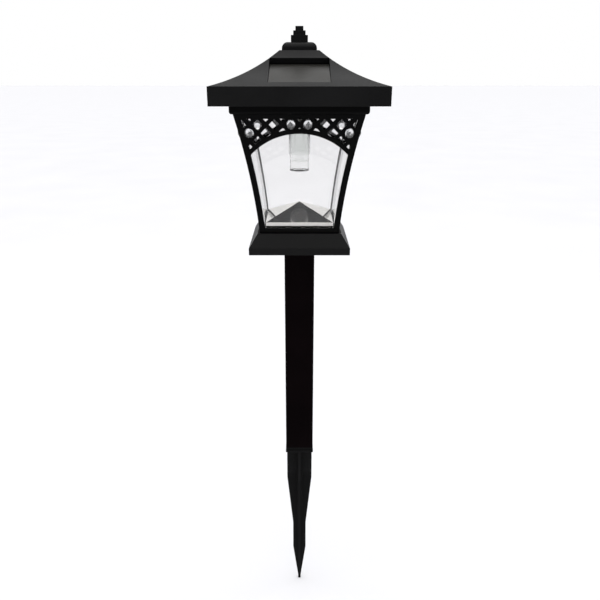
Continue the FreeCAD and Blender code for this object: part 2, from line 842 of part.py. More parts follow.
def finial_screw():
    crest = dim("eave_base") + dim("fascia_height") + dim("roof_rise")
    seat = crest - dim("roof_wall") - dim("washer_thickness")
    washer = rod("finial_washer", dim("washer_diameter"), dim("washer_thickness"), z=seat)
    driven = screw("finial_fixing", 0, 0, seat, dim("finial_screw_length"))
    return finish(fuse("finial_screw_washer", [driven, washer]), "finial_screw")


def roof_screws():
    places = corner_places(dim("boss_spacing"))
    screws = [
        screw(f"roof_screw_{n}", x, y, dim("tray_flange_base"), dim("roof_screw_length"))
        for n, (x, y) in enumerate(places)
    ]
    return finish(group("roof_screw_set", screws), "roof_screws")


# ---- Solar panel ----


def panel_board():
    board = tilted_block("panel_board_plate", dim("panel_width"), dim("panel_length"), dim("panel_board"),
                         depth=panel_depth())
    return finish(board, "panel_board")


def solar_cells():
    """Four strips of silicon side by side."""
    strips = 4
    gap = as_size(0.5)
    strip = (dim("panel_width") - 3 - gap * (strips - 1)) / strips
    cells = [
        tilted_block(f"cell_strip_{n}", strip, dim("panel_length") - 3, dim("panel_cell"),
                     side=(strip + gap) * (n - (strips - 1) / 2), along=1.5,
                     depth=dim("panel_cell") + dim("panel_cover"))
        for n in range(strips)
    ]
    return finish(group("cell_strips", cells), "solar_cells")


def panel_cover():
    cover = tilted_block("panel_cover_plate", dim("panel_width"), dim("panel_length"), dim("panel_cover"),
                         depth=dim("panel_cover"))
    return finish(cover, "panel_cover")


# ---- Tray and light unit ----


def roof_tray():
    """Pan that closes the roof: rim on the cage, lip inside the lens, cell box, pillars and openings."""
    base = dim("tray_base")
    wall = dim("tray_wall")
    pan = new_body("tray_pan")
    pan_height = dim("tray_flange_base") - base
    pad(pan, "pan", "XY_Plane", [square(dim("rim_width"))], pan_height, base)
    round_edges(pan, "pan_rounding", "Fillet", wall, lambda box: box.ZMin < base.value + 0.1)
    flange = block("tray_flange", dim("tray_flange_width"), dim("tray_flange_width"), wall,
                   z=dim("tray_flange_base"))
    inner_width = dim("rim_width") - wall * 2
    hollow = block("tray_hollow", inner_width, inner_width, pan_height + wall, z=base + wall)
    open_pan = cut("tray_open_pan", fuse("tray_solid", [pan, flange]), [hollow])
    lip = block("tray_lip", dim("tray_lip_width"), dim("tray_lip_width"), dim("tray_lip_drop"),
                z=base - dim("tray_lip_drop"))
    lip_inside = dim("tray_lip_width") - dim("tray_lip_wall") * 2
    lip_bore = block("tray_lip_bore", lip_inside, lip_inside, dim("tray_lip_drop"),
                     z=base - dim("tray_lip_drop"))
    box_wall = dim("box_wall")
    box_middle = dim("box_front") + dim("box_depth") / 2
    box = block("cell_box", dim("box_length") + box_wall * 2, dim("box_depth") + box_wall * 2,
                dim("box_top") - base, y=box_middle, z=base)
    pillars = [
        rod(f"board_pillar_{side}", dim("pillar_diameter"), dim("board_base") - base - wall,
            board_screw_x(side), 0, base + wall)
        for side in (-1, 1)
    ]
    solid = fuse("tray_joined", [open_pan, cut("tray_lip_ring", lip, [lip_bore]), box] + pillars)
    cell_space = block("cell_space", dim("box_length"), dim("box_depth"), dim("cutting_length"),
                       y=box_middle, z=base - 2)
    sleeve_hole = rod("sleeve_hole", dim("sleeve_diameter") + dim("hole_gap") * 2, wall * 3, z=base - wall)
    slot_length = dim("switch_length") - 2
    switch_slot = block("switch_slot", slot_length, 3, wall * 3, y=-dim("switch_front"), z=base - wall)
    pin_holes = rod_along_x("pin_holes", dim("door_pin") + dim("hole_gap"), dim("box_length") + box_wall * 2,
                            -(dim("box_length") / 2 + box_wall), door_axis()[0], door_axis()[1])
    wire_notches = [
        block(f"wire_notch_{side}", 3, box_wall * 3, 4, x=dim("wire_notch_x") * side, y=dim("box_front"),
              z=dim("box_top") - 3)
        for side in (-1, 1)
    ]
    screw_holes = [
        rod(f"tray_screw_hole_{n}", dim("screw_hole"), wall * 3, x, y, dim("tray_flange_base") - wall)
        for n, (x, y) in enumerate(corner_places(dim("boss_spacing")))
    ]
    pilots = [
        rod(f"pillar_pilot_{side}", dim("board_screw_core"), 4, board_screw_x(side), 0, dim("board_base") - 4)
        for side in (-1, 1)
    ]
    tools = [cell_space, sleeve_hole, switch_slot, pin_holes] + wire_notches + screw_holes + pilots
    return finish(cut("tray", solid, tools), "roof_tray")


def board_screw_x(side):
    return (dim("board_width") / 2 - dim("board_screw_inset")) * side


def door_axis():
    """Hinge line of the door, as (y, z): the middle of its rounded front edge."""
    return dim("box_front") + dim("tray_wall") / 2 + dim("door_gap"), dim("tray_base") + dim("tray_wall") / 2


def battery_door():
    """Flat door with a rounded hinge edge, two pins and a catch bar."""
    axis_y, axis_z = door_axis()
    thick = dim("tray_wall")
    length = dim("box_length") - dim("door_gap") * 2
    back = dim("box_front") + dim("box_depth") - dim("door_gap")
    plate = block("door_plate", length, back - axis_y, thick, y=(back + axis_y) / 2, z=dim("tray_base"))
    edge = rod_along_x("door_edge", thick, length, -length / 2, axis_y, axis_z)
    pin_length = length + dim("door_pin_reach") * 2
    pins = rod_along_x("door_pins", dim("door_pin"), pin_length, -pin_length / 2, axis_y, axis_z)
    step = dim("grip_step")
    catch = block("door_catch", dim("catch_length"), 1.2, dim("catch_height"), y=back - step,
                  z=dim("tray_base") + thick)
    grips = [
        block(f"door_grip_{n}", dim("grip_length"), step / 2, 0.5, y=back - 3 - step * n,
              z=dim("tray_base") - 0.4)
        for n in range(3)
    ]
    return finish(fuse("door", [plate, edge, pins, catch] + grips), "battery_door")


def led_sleeve():
    """Clear sleeve with a flange on the tray floor."""
    top = dim("tray_base") + dim("tray_wall")
    bore = dim("sleeve_diameter") - dim("sleeve_wall") * 2
    tube = rod("sleeve_tube", dim("sleeve_diameter"), top - dim("sleeve_base"), z=dim("sleeve_base"))
    flange = rod("sleeve_flange", dim("sleeve_diameter") + 4.5, dim("tube_flange_height"), z=top)
    hole = rod("sleeve_bore", bore, dim("cutting_length"), z=dim("sleeve_base") - 1)
    return finish(cut("sleeve", fuse("sleeve_solid", [tube, flange]), [hole]), "led_sleeve")


def led_cup():
    """Clear cup inside the sleeve, with a thick floor that is dished from below to spread the light."""
    top = dim("tray_base") + dim("tray_wall") + dim("tube_flange_height")
    base = dim("cup_base")
    bore = dim("cup_diameter") - dim("cup_wall") * 2
    tube = rod("cup_tube", dim("cup_diameter"), top - base, z=base)
    flange = rod("cup_flange", dim("cup_diameter") + 4, dim("tube_flange_height"), z=top)
    hole = rod("cup_bore", bore, dim("cutting_length"), z=base + dim("cup_floor"))
    dish = doc.addObject("Part::Sphere", "cup_dish")
    bind(dish, "Radius", dim("cup_dish_radius"))
    place(dish, z=base + dim("cup_dish_depth") - dim("cup_dish_radius"))
    return finish(cut("cup", fuse("cup_solid", [tube, flange]), [hole, dish]), "led_cup")


def led():
    """Round lamp pointing down inside the cup, with two leads up to the board."""
    base = dim("led_base")
    radius = dim("led_diameter") / 2
    dome = doc.addObject("Part::Sphere", "led_dome")
    bind(dome, "Radius", radius)
    place(dome, z=base + radius)
    barrel = rod("led_barrel", dim("led_diameter"), dim("led_barrel_height"), z=base + radius)
    lead_base = base + radius + dim("led_barrel_height")
    rim = rod("led_rim", dim("led_diameter") + 0.9, 1, z=lead_base - 0.5)
    width = dim("lead_width")
    leads = [
        block(f"led_lead_{n}", width, width, dim("board_base") - lead_base, x=dim("lead_pitch") * (n - 0.5),
              z=lead_base)
        for n in range(2)
    ]
    return finish(fuse("led_lamp", [dome, barrel, rim] + leads), "led")


# ---- Electronics ----


def circuit_board():
    middle = (dim("board_back") - dim("board_front")) / 2
    plate = block("board_plate", dim("board_width"), dim("board_front") + dim("board_back"),
                  dim("board_thickness"), y=middle, z=dim("board_base"))
    holes = [
        rod(f"board_hole_{side}", 2.2, 6, board_screw_x(side), 0, dim("board_base") - 2)
        for side in (-1, 1)
    ]
    return finish(cut("board", plate, holes), "circuit_board")


def board_screws():
    top = dim("board_base") + dim("board_thickness")
    screws = []
    for side in (-1, 1):
        x = board_screw_x(side)
        head = rod(f"board_screw_head_{side}", dim("board_screw_head"), 1.3, x, 0, top)
        stem = rod(f"board_screw_stem_{side}", dim("board_screw_core"), 5, x, 0, top - 5)
        slot = block(f"board_screw_slot_{side}", 2.4, 0.5, 0.6, x, 0, top + 0.9)
        screws.append(cut(f"board_screw_{side}", fuse(f"board_screw_blank_{side}", [head, stem]), [slot]))
    return finish(group("board_screw_pair", screws), "board_screws")


def control_chip():
    """Small driver chip with two rows of legs."""
    top = dim("board_base") + dim("board_thickness")
    y = -dim("electronics_front")
    case = block("chip_case", dim("chip_length"), 4, 1.5, x=dim("chip_x"), y=y, z=top + 0.2)
    legs = [
        block(f"chip_leg_{n}_{side + 1}", 0.4, 1.2, 0.4, x=dim("chip_x") + dim("chip_leg_pitch") * (n - 1.5),
              y=y + 2.4 * side, z=top)
        for n in range(4) for side in (-1, 1)
    ]
    return finish(fuse("chip", [case] + legs), "control_chip")


def inductor():
    top = dim("board_base") + dim("board_thickness")
    y = -dim("electronics_front")
    length = 7
    start = -dim("inductor_x") - length / 2
    coil = rod_along_x("inductor_coil", 3.4, length, start, y, top + 1.7)
    ends = [
        rod_along_x(f"inductor_cap_{n}", 3.8, 1, start - 0.5 + length * n, y, top + 1.9)
        for n in range(2)
    ]
    return finish(fuse("inductor_body", [coil] + ends), "inductor")


def slide_switch():
    """Switch case under the board, with the slot that its slider runs in."""
    base = dim("tray_base") + dim("tray_wall") + 0.2
    y = -dim("switch_front")
    case = block("switch_case", dim("switch_length"), dim("switch_depth"), dim("board_base") - base,
                 y=y, z=base)
    channel = block("switch_channel", 7.4, 2.8, 2.2, y=y, z=base)
    return finish(cut("switch", case, [channel]), "slide_switch")


def switch_knob():
    """Slider with a ribbed knob; it rests at the off end of its travel."""
    base = dim("tray_base") + dim("tray_wall") + 0.4
    low = dim("tray_base") - dim("knob_drop")
    deep = dim("knob_depth")
    x = -dim("knob_x")
    y = -dim("switch_front")
    shoe = block("knob_shoe", dim("knob_length") + 1, deep, 1.6, x=x, y=y, z=base)
    stem = block("knob_stem", dim("knob_length"), deep, base - low, x=x, y=y, z=low)
    grooves = [
        block(f"knob_groove_{n}", 0.3, 3, 0.3, x=x + 0.7 * (n - 1), y=y, z=low)
        for n in range(3)
    ]
    return finish(cut("knob", fuse("knob_solid", [shoe, stem]), grooves), "switch_knob")


# ---- Rechargeable cell and wires ----


def cell_height():
    return dim("tray_base") + dim("tray_wall") + dim("cell_diameter") / 2 + dim("cell_lift")


def tag_top():
    """Top of the contacts' solder tags, above the cell box."""
    return dim("box_top") + dim("contact_tag_rise")


def rechargeable_cell():
    y = dim("box_front") + dim("box_depth") / 2
    length = dim("cell_length") - 1
    start = -length / 2 + 1
    can = rod_along_x("cell_can", dim("cell_diameter"), length, start, y, cell_height())
    button = rod_along_x("cell_button", 5.2, dim("cell_length"), start, y, cell_height())
    return finish(fuse("cell", [can, button]), "rechargeable_cell")


def contact_plate():
    """Positive contact: a bent strip at the +X end of the box."""
    y = dim("box_front") + dim("box_depth") / 2
    end = dim("box_length") / 2
    thick = dim("contact_thickness")
    x = end - 0.3
    middle = cell_height()
    plate = block("plus_plate", thick, dim("contact_width"), dim("contact_height"), x=x, y=y,
                  z=middle - dim("contact_height") / 2)
    dimple = rod_along_x("plus_dimple", 4, 0.8, end - 1.3, y, middle)
    tag = block("plus_tag", thick, dim("contact_tag_width"), tag_top() - middle, x=x, y=y, z=middle)
    return finish(fuse("plus_contact", [plate, dimple, tag]), "contact_plate")


def contact_spring():
    """Negative contact: a conical coil of wire on a strip at the -X end of the box."""
    y = (dim("box_front") + dim("box_depth") / 2).value
    end = -(dim("box_length") / 2).value
    cell_end = -(dim("cell_length") - 1).value / 2 + 1
    start = end + 0.9
    middle = cell_height().value
    thick = dim("contact_thickness").value
    wide = dim("contact_width").value
    high = dim("contact_height").value
    tag_wide = dim("contact_tag_width").value
    plate = Part.makeBox(thick, wide, high, FreeCAD.Vector(end + 0.05, y - wide / 2, middle - high / 2))
    tag_base = FreeCAD.Vector(end + 0.05, y - tag_wide / 2, middle)
    tag = Part.makeBox(thick, tag_wide, tag_top().value - middle, tag_base)
    turns = 3
    cone_angle = -10
    wire_radius = dim("spring_wire").value / 2
    radius = dim("spring_radius").value
    reach = cell_end - start - wire_radius - 0.2
    helix = Part.makeHelix(reach / turns, reach, radius, cone_angle)
    profile = Part.Wire(Part.makeCircle(wire_radius, FreeCAD.Vector(radius, 0, 0), FreeCAD.Vector(0, 1, 0)))
    coil = Part.Wire(helix).makePipeShell([profile], True, True)
    coil.rotate(FreeCAD.Vector(), FreeCAD.Vector(0, 1, 0), 90)
    coil.translate(FreeCAD.Vector(start - 0.1, y, middle))
    spring = doc.addObject("Part::Feature", "minus_contact")
    spring.Shape = plate.fuse([tag, coil]).removeSplitter()
    return finish(spring, "contact_spring")


def bent_wire(name, corners, bend):
    """A round wire along straight runs joined by tangent arcs."""
    points = [FreeCAD.Vector(*(as_size(c).value for c in corner)) for corner in corners]
    edges = []
    start = points[0]
    for before, corner, after in zip(points, points[1:], points[2:]):
        back = (before - corner).normalize()
        ahead = (after - corner).normalize()
        half_turn = (math.pi - back.getAngle(ahead)) / 2
        reach = bend * math.tan(half_turn)
        enter = corner + back * reach
        leave = corner + ahead * reach
        across = (back + ahead).normalize()
        middle = corner + across * (bend / math.cos(half_turn) - bend)
        edges += [Part.LineSegment(start, enter).toShape(), Part.Arc(enter, middle, leave).toShape()]
        start = leave
    edges.append(Part.LineSegment(start, points[-1]).toShape())
    path = Part.Wire(edges)
    radius = dim("wire_diameter").value / 2
    circle = Part.Wire(Part.makeCircle(radius, points[0], (points[1] - points[0]).normalize()))
    wire = doc.addObject("Part::Feature", name + "_run")
    wire.Shape = path.makePipeShell([circle], True, False)
    return finish(wire, name)


def wires():
    """Panel leads down to the board, and cell leads from the contacts to the board."""
    top = dim("board_base") + dim("board_thickness")
    tilt = math.radians(dim("panel_tilt").value)
    below = panel_depth().value
    along = 14  # up the slope from the panel's front edge
    drop = 6  # straight run at each end of a panel lead
    board_y = -19
    panel_y = -dim("panel_front") + along * math.cos(tilt) + below * math.sin(tilt)
    panel_z = dim("panel_front_height") + along * math.sin(tilt) - below * math.cos(tilt)
    cell_y = dim("box_front") + dim("box_depth") / 2
    contact_x = dim("box_length") / 2 - 0.3
    over = dim("box_top") + 2.2
    made = []
    for name, side in (("red", 1), ("black", -1)):
        x = 4 * side
        route = [
            (x, panel_y, panel_z), (x, panel_y, panel_z - drop), (x, board_y, top + drop), (x, board_y, top),
        ]
        made.append(bent_wire(f"panel_wire_{name}", route, dim("wire_bend").value))
        route = [
            ((contact_x - 0.25) * side, cell_y, over), ((contact_x - 6) * side, cell_y, over),
            (dim("wire_notch_x") * side, dim("box_front") - 5, over), (17 * side, 8, over), (17 * side, 8, top),
        ]
        made.append(bent_wire(f"cell_wire_{name}", route, dim("wire_bend").value))
    return made


def build():
    fill_sheet()
    pieces = [ground_stake(), post_tube(), base_skirt()]
    pieces += cage_sides()
    pieces += [lattice_beads(), lens(), mirror_pyramid()]
    pieces += [roof_shell(), finial(), finial_screw(), roof_screws()]
    pieces += [panel_board(), solar_cells(), panel_cover()]
    pieces += [roof_tray(), battery_door(), led_sleeve(), led_cup(), led()]
    pieces += [circuit_board(), board_screws(), control_chip(), inductor(), slide_switch(), switch_knob()]
    pieces += [rechargeable_cell(), contact_plate(), contact_spring()]
    pieces += wires()
    doc.recompute()
    return pieces


def check(pieces):
    """Stops before anything is written if an object failed or a piece isn't a sound solid."""
    for thing in doc.Objects:
        if "Invalid" in thing.State or "Error" in thing.State:
            raise RuntimeError(f"{thing.Name} failed: {thing.State}")
    for pocket in doc.findObjects("PartDesign::Pocket"):
        if pocket.Shape.Volume > pocket.BaseFeature.Shape.Volume - 1:
            raise RuntimeError(f"{pocket.Name} cut nothing")
    for piece in pieces:
        if piece.Shape.isNull() or not piece.Shape.isValid() or not piece.Shape.Solids:
            raise RuntimeError(f"{piece.Label} isn't a valid solid")


def write(pieces):
    os.makedirs("parts", exist_ok=True)
    for piece in pieces:
        piece.Shape.exportStep(f"parts/{piece.Label}.step")
        box = piece.Shape.BoundBox
        print(
            f"{piece.Label}: {len(piece.Shape.Solids)} solid(s), volume {piece.Shape.Volume / 1000:.2f} cm3, "
            f"z {box.ZMin:.1f} to {box.ZMax:.1f}, x {box.XMin:.1f} to {box.XMax:.1f}, "
            f"y {box.YMin:.1f} to {box.YMax:.1f}"
        )


pieces = build()
check(pieces)
write(pieces)
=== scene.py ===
import json
import math

import bmesh
import bpy
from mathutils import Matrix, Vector

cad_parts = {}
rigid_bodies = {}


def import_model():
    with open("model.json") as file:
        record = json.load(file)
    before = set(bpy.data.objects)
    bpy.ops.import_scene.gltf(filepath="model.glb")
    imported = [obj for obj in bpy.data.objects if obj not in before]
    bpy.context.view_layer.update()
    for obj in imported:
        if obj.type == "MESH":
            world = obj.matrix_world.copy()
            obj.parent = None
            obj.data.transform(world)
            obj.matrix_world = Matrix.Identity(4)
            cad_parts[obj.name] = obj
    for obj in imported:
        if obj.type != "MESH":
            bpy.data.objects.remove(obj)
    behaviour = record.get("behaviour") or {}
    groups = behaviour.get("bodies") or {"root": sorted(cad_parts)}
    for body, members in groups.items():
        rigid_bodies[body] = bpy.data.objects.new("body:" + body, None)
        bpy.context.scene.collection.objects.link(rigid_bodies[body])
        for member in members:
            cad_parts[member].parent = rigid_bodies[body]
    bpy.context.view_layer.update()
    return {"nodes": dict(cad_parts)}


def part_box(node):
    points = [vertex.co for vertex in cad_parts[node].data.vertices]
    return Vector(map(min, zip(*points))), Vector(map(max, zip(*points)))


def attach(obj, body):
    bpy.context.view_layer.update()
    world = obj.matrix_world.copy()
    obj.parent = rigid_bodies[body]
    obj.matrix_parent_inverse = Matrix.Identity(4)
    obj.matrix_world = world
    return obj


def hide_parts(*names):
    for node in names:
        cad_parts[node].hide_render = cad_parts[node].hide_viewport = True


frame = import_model()
nodes = frame["nodes"]
mm = 0.001  # sizes are in millimetres, except the studio's, which are in metres
mergeWithin = 0.002  # corners closer than this are one corner
overrun = 1.0  # how far a cutter runs past the face it cuts
upright = 0.9  # a normal or an edge with more than this of its length along Z is upright
nearly = 0.01  # heights closer than this are one height


# modelling helpers


def makeActive(piece):
    bpy.ops.object.select_all(action="DESELECT")
    piece.select_set(True)
    bpy.context.view_layer.objects.active = piece


def bakePlace(piece, name):
    makeActive(piece)
    bpy.ops.object.transform_apply(location=True, rotation=True, scale=True)
    piece.name = name
    piece.data.name = name
    return piece


def addBox(name, low, high, turn=(0, 0, 0)):
    bpy.ops.object.select_all(action="DESELECT")
    middle = [(a + b) / 2 * mm for a, b in zip(low, high)]
    size = [(b - a) * mm for a, b in zip(low, high)]
    bpy.ops.mesh.primitive_cube_add(size=1, location=middle, scale=size, rotation=turn)
    return bakePlace(bpy.context.object, name)


def addRod(name, radius, start, end, sides=40):
    bpy.ops.object.select_all(action="DESELECT")
    start, end = Vector(start) * mm, Vector(end) * mm
    run = end - start
    bpy.ops.mesh.primitive_cylinder_add(
        vertices=sides, radius=radius * mm, depth=run.length, location=(start + end) / 2,
        rotation=run.to_track_quat("Z", "Y").to_euler(),
    )
    return bakePlace(bpy.context.object, name)


def editPiece(piece):
    makeActive(piece)
    bpy.ops.object.mode_set(mode="EDIT")


def leaveEdit():
    bpy.ops.object.mode_set(mode="OBJECT")


def pickFaces(piece, test):
    # selects the faces whose middle (mm) and normal pass the test, in edit mode
    bpy.ops.mesh.select_mode(type="FACE")
    bpy.ops.mesh.select_all(action="DESELECT")
    shape = bmesh.from_edit_mesh(piece.data)
    for face in shape.faces:
        face.select_set(bool(test(face.calc_center_median() / mm, face.normal)))
    bmesh.update_edit_mesh(piece.data)


def pickEdges(piece, test):
    # selects the edges whose middle (mm) and direction pass the test, in edit mode
    bpy.ops.mesh.select_mode(type="EDGE")
    bpy.ops.mesh.select_all(action="DESELECT")
    shape = bmesh.from_edit_mesh(piece.data)
    for edge in shape.edges:
        first, second = (v.co / mm for v in edge.verts)
        edge.select_set(bool(test((first + second) / 2, (second - first).normalized())))
    bmesh.update_edit_mesh(piece.data)


def facingUp(middle, normal):
    return normal.z > upright


def alongZ(middle, direction):
    return abs(direction.z) > upright


def pushOut(distance, spread=1.0, height=0.0, alongX=False):
    # extrudes the picked faces up or down, then spreads them about the axis at the height given
    bpy.ops.mesh.extrude_region_move(TRANSFORM_OT_translate={"value": (0, 0, distance * mm)})
    bpy.ops.transform.resize(
        value=(spread, 1 if alongX else spread, 1), center_override=(0, 0, height * mm)
    )


def applyModifier(piece, kind, **settings):
    makeActive(piece)
    modifier = piece.modifiers.new(kind, kind)
    for key, value in settings.items():
        setattr(modifier, key, value)
    bpy.ops.object.modifier_apply(modifier=modifier.name)


def combine(piece, tool, how):
    applyModifier(piece, "BOOLEAN", object=tool, operation=how, solver="EXACT")
    bpy.data.objects.remove(tool)


def joinPieces(pieces, name):
    bpy.ops.object.select_all(action="DESELECT")
    for piece in pieces:
        piece.select_set(True)
    bpy.context.view_layer.objects.active = pieces[0]
    bpy.ops.object.join()
    return bakePlace(bpy.context.object, name)


def weld(piece, flat=None):
    # merges doubles and, with an angle, dissolves edges inside flat faces
    editPiece(piece)
    bpy.ops.mesh.select_all(action="SELECT")
    bpy.ops.mesh.remove_doubles(threshold=mergeWithin * mm)
    if flat is not None:
        bpy.ops.mesh.dissolve_limited(angle_limit=math.radians(flat))
    leaveEdit()


def softenEdges(piece, width, segments=2, angle=35, clamp=True):
    applyModifier(
        piece, "BEVEL", width=width * mm, segments=segments, limit_method="ANGLE",
        angle_limit=math.radians(angle), use_clamp_overlap=clamp, miter_outer="MITER_ARC",
    )


def smoothShade(piece, angle=30):
    # smooth up to the angle, with the large flat faces kept flat
    makeActive(piece)
    bpy.ops.object.shade_smooth_by_angle(angle=math.radians(angle))
    applyModifier(piece, "WEIGHTED_NORMAL", keep_sharp=True, weight=80)


def copyPiece(piece, name):
    makeActive(piece)
    bpy.ops.object.duplicate()
    copy = bpy.context.object
    copy.name = name
    copy.data.name = name
    return copy


def arcCentre(start, end, radius):
    # centre of the arc from start to end that bows towards the axis
    run, rise = end[0] - start[0], end[1] - start[1]
    chord = math.hypot(run, rise)
    reach = math.sqrt(radius ** 2 - chord ** 2 / 4)
    middleX, middleZ = (start[0] + end[0]) / 2, (start[1] + end[1]) / 2
    return middleX + reach * rise / chord, middleZ - reach * run / chord


def arcPoints(start, end, radius, count):
    # (half width, height) points along such an arc, in equal steps
    centreX, centreZ = arcCentre(start, end, radius)
    first = math.atan2(start[1] - centreZ, start[0] - centreX)
    last = math.atan2(end[1] - centreZ, end[0] - centreX)
    turn = (last - first + math.pi) % (2 * math.pi) - math.pi
    return [
        (
            centreX + radius * math.cos(first + turn * n / count),
            centreZ + radius * math.sin(first + turn * n / count),
        )
        for n in range(count + 1)
    ]


def ringSolid(name, rings, depth=None):
    # a square solid that follows (half width, height) rings; with a depth it changes in X only
    (half, low), (nextHalf, high) = rings[:2]
    front, back = depth or (-half, half)
    piece = addBox(name, (-half, front, low), (half, back, high))
    editPiece(piece)
    pickFaces(piece, facingUp)
    spread = nextHalf / half
    bpy.ops.transform.resize(value=(spread, 1 if depth else spread, 1), center_override=(0, 0, high * mm))
    for before, after in zip(rings[1:], rings[2:]):
        pushOut(after[1] - before[1], after[0] / before[0], after[1], alongX=bool(depth))
    leaveEdit()
    return piece


def finishPiece(piece, body, material, slot, *standsFor):
    piece.data.materials.clear()
    piece.data.materials.append(material)
    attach(piece, body)
    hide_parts(*standsFor)
    print("made", piece.name, len(piece.data.polygons), "faces")


# materials


def newMaterial(name):
    material = bpy.data.materials.new(name)
    material.use_nodes = True
    tree = material.node_tree
    shader = tree.nodes["Principled BSDF"]
    coords = tree.nodes.new("ShaderNodeTexCoord")
    return material, tree, shader, coords.outputs["Object"]


def addNoise(tree, coords, scale, detail=4.0, stretch=None):
    noise = tree.nodes.new("ShaderNodeTexNoise")
    noise.inputs["Scale"].default_value = scale
    noise.inputs["Detail"].default_value = detail
    if stretch:
        mapping = tree.nodes.new("ShaderNodeMapping")
        mapping.inputs["Scale"].default_value = stretch
        tree.links.new(coords, mapping.inputs["Vector"])
        coords = mapping.outputs["Vector"]
    tree.links.new(coords, noise.inputs["Vector"])
    return noise.outputs["Fac"]


def addRange(tree, value, low, high, fromLow=0.3, fromHigh=0.7):
    span = tree.nodes.new("ShaderNodeMapRange")
    for socket, number in (("From Min", fromLow), ("From Max", fromHigh), ("To Min", low), ("To Max", high)):
        span.inputs[socket].default_value = number
    tree.links.new(value, span.inputs["Value"])
    return span.outputs["Result"]


def addRamp(tree, value, stops):
    ramp = tree.nodes.new("ShaderNodeValToRGB")
    while len(ramp.color_ramp.elements) < len(stops):
        ramp.color_ramp.elements.new(0.5)
    for element, (place, colour) in zip(ramp.color_ramp.elements, stops):
        element.position = place
        element.color = (*colour, 1)
    tree.links.new(value, ramp.inputs["Fac"])
    return ramp.outputs["Color"]


def addBump(tree, shader, height, strength, distance):
    bump = tree.nodes.new("ShaderNodeBump")
    bump.inputs["Strength"].default_value = strength
    bump.inputs["Distance"].default_value = distance * mm
    tree.links.new(height, bump.inputs["Height"])
    tree.links.new(bump.outputs["Normal"], shader.inputs["Normal"])


def setFixed(shader, **values):
    for key, value in values.items():
        shader.inputs[key.replace("_", " ")].default_value = value


def mottled(name, dark, light, rough, grain=900, patch=30, bump=0.15, depth=0.05, stretch=None, **fixed):
    # a moulded or coated finish: slow colour patches, uneven gloss and a fine grain
    material, tree, shader, coords = newMaterial(name)
    slow = addNoise(tree, coords, patch, 5.0, stretch)
    fine = addNoise(tree, coords, grain, 3.0)
    tree.links.new(addRamp(tree, slow, [(0.35, dark), (0.65, light)]), shader.inputs["Base Color"])
    tree.links.new(addRange(tree, slow, *rough), shader.inputs["Roughness"])
    addBump(tree, shader, fine, bump, depth)
    setFixed(shader, **fixed)
    return material


def grey(level):
    return (level, level, level * 1.03)


roofPlastic = mottled(
    "roofPlastic", grey(0.0048), grey(0.0076), (0.34, 0.46), grain=1400, bump=0.2, Specular_IOR_Level=0.1,
)
framePlastic = mottled(
    "framePlastic", grey(0.0012), grey(0.0024), (0.3, 0.42), grain=1600, bump=0.1, Specular_IOR_Level=0.04,
)
skirtPlastic = mottled(
    "skirtPlastic", grey(0.0035), grey(0.0055), (0.36, 0.48), grain=1500, bump=0.15, Specular_IOR_Level=0.12,
)
tubeCoat = mottled(
    "tubeCoat", (0.002, 0.0009, 0.0012), (0.0032, 0.0016, 0.002), (0.3, 0.4), grain=700, bump=0.25,
    depth=0.03, Specular_IOR_Level=0.015,
)
stakePlastic = mottled(
    "stakePlastic", grey(0.0022), grey(0.0042), (0.42, 0.6), grain=500, patch=60, bump=0.3, depth=0.06,
    stretch=(1, 1, 0.25), Specular_IOR_Level=0.07,
)
clearPlastic = mottled(
    "clearPlastic", (0.924, 0.922, 0.92), (0.942, 0.94, 0.938), (0.0, 0.012), grain=60, patch=14, bump=0.012,
    depth=0.2, Transmission_Weight=1.0, IOR=1.47, Specular_IOR_Level=0.3,
)
beadPlastic = mottled(
    "beadPlastic", (0.86, 0.87, 0.88), (0.95, 0.955, 0.96), (0.0, 0.03), grain=300, patch=90, bump=0.05,
    depth=0.1, Transmission_Weight=1.0, IOR=1.52,
)
tubeClear = mottled(
    "tubeClear", (0.93, 0.94, 0.93), (0.97, 0.975, 0.97), (0.0, 0.02), grain=80, patch=40, bump=0.02,
    depth=0.2, Transmission_Weight=1.0, IOR=1.47,
)
mirrorFilm = mottled(
    "mirrorFilm", (0.62, 0.6, 0.575), (0.71, 0.695, 0.67), (0.015, 0.06), grain=260, patch=35, bump=0.03,
    depth=0.08, Metallic=1.0,
)
ledResin = mottled(
    "ledResin", (0.8, 0.72, 0.42), (0.94, 0.88, 0.62), (0.02, 0.1), grain=500, patch=250, bump=0.05,
    Transmission_Weight=0.85, IOR=1.5,
)
panelPotting = mottled(
    "panelPotting", (0.015, 0.0142, 0.0115), (0.02, 0.019, 0.0158), (0.3, 0.42), grain=2200, patch=26,
    bump=0.2, depth=0.03, Transmission_Weight=0.06, IOR=1.5, Specular_IOR_Level=0.15,
)
switchPlastic = mottled("switchPlastic", grey(0.02), grey(0.035), (0.4, 0.55), grain=2000)
ferriteCore = mottled("ferriteCore", grey(0.05), grey(0.09), (0.6, 0.8), grain=3000, bump=0.4)
chipMould = mottled("chipMould", grey(0.015), grey(0.025), (0.5, 0.65), grain=4000, bump=0.3)
nickelPlate = mottled(
    "nickelPlate", (0.6, 0.58, 0.54), (0.75, 0.73, 0.69), (0.16, 0.32), grain=1500, patch=200, Metallic=1.0,
)
screwZinc = mottled(
    "screwZinc", (0.42, 0.42, 0.43), (0.62, 0.62, 0.62), (0.25, 0.45), grain=1800, patch=350, bump=0.3,
    Metallic=1.0,
)
redInsulation = mottled("redInsulation", (0.38, 0.012, 0.012), (0.5, 0.03, 0.025), (0.4, 0.55), grain=1200)
blackInsulation = mottled("blackInsulation", grey(0.012), grey(0.022), (0.4, 0.55), grain=1200)
floorPaper = mottled("floorPaper", grey(0.8), grey(0.82), (0.7, 0.8), grain=400, patch=3, bump=0.02)


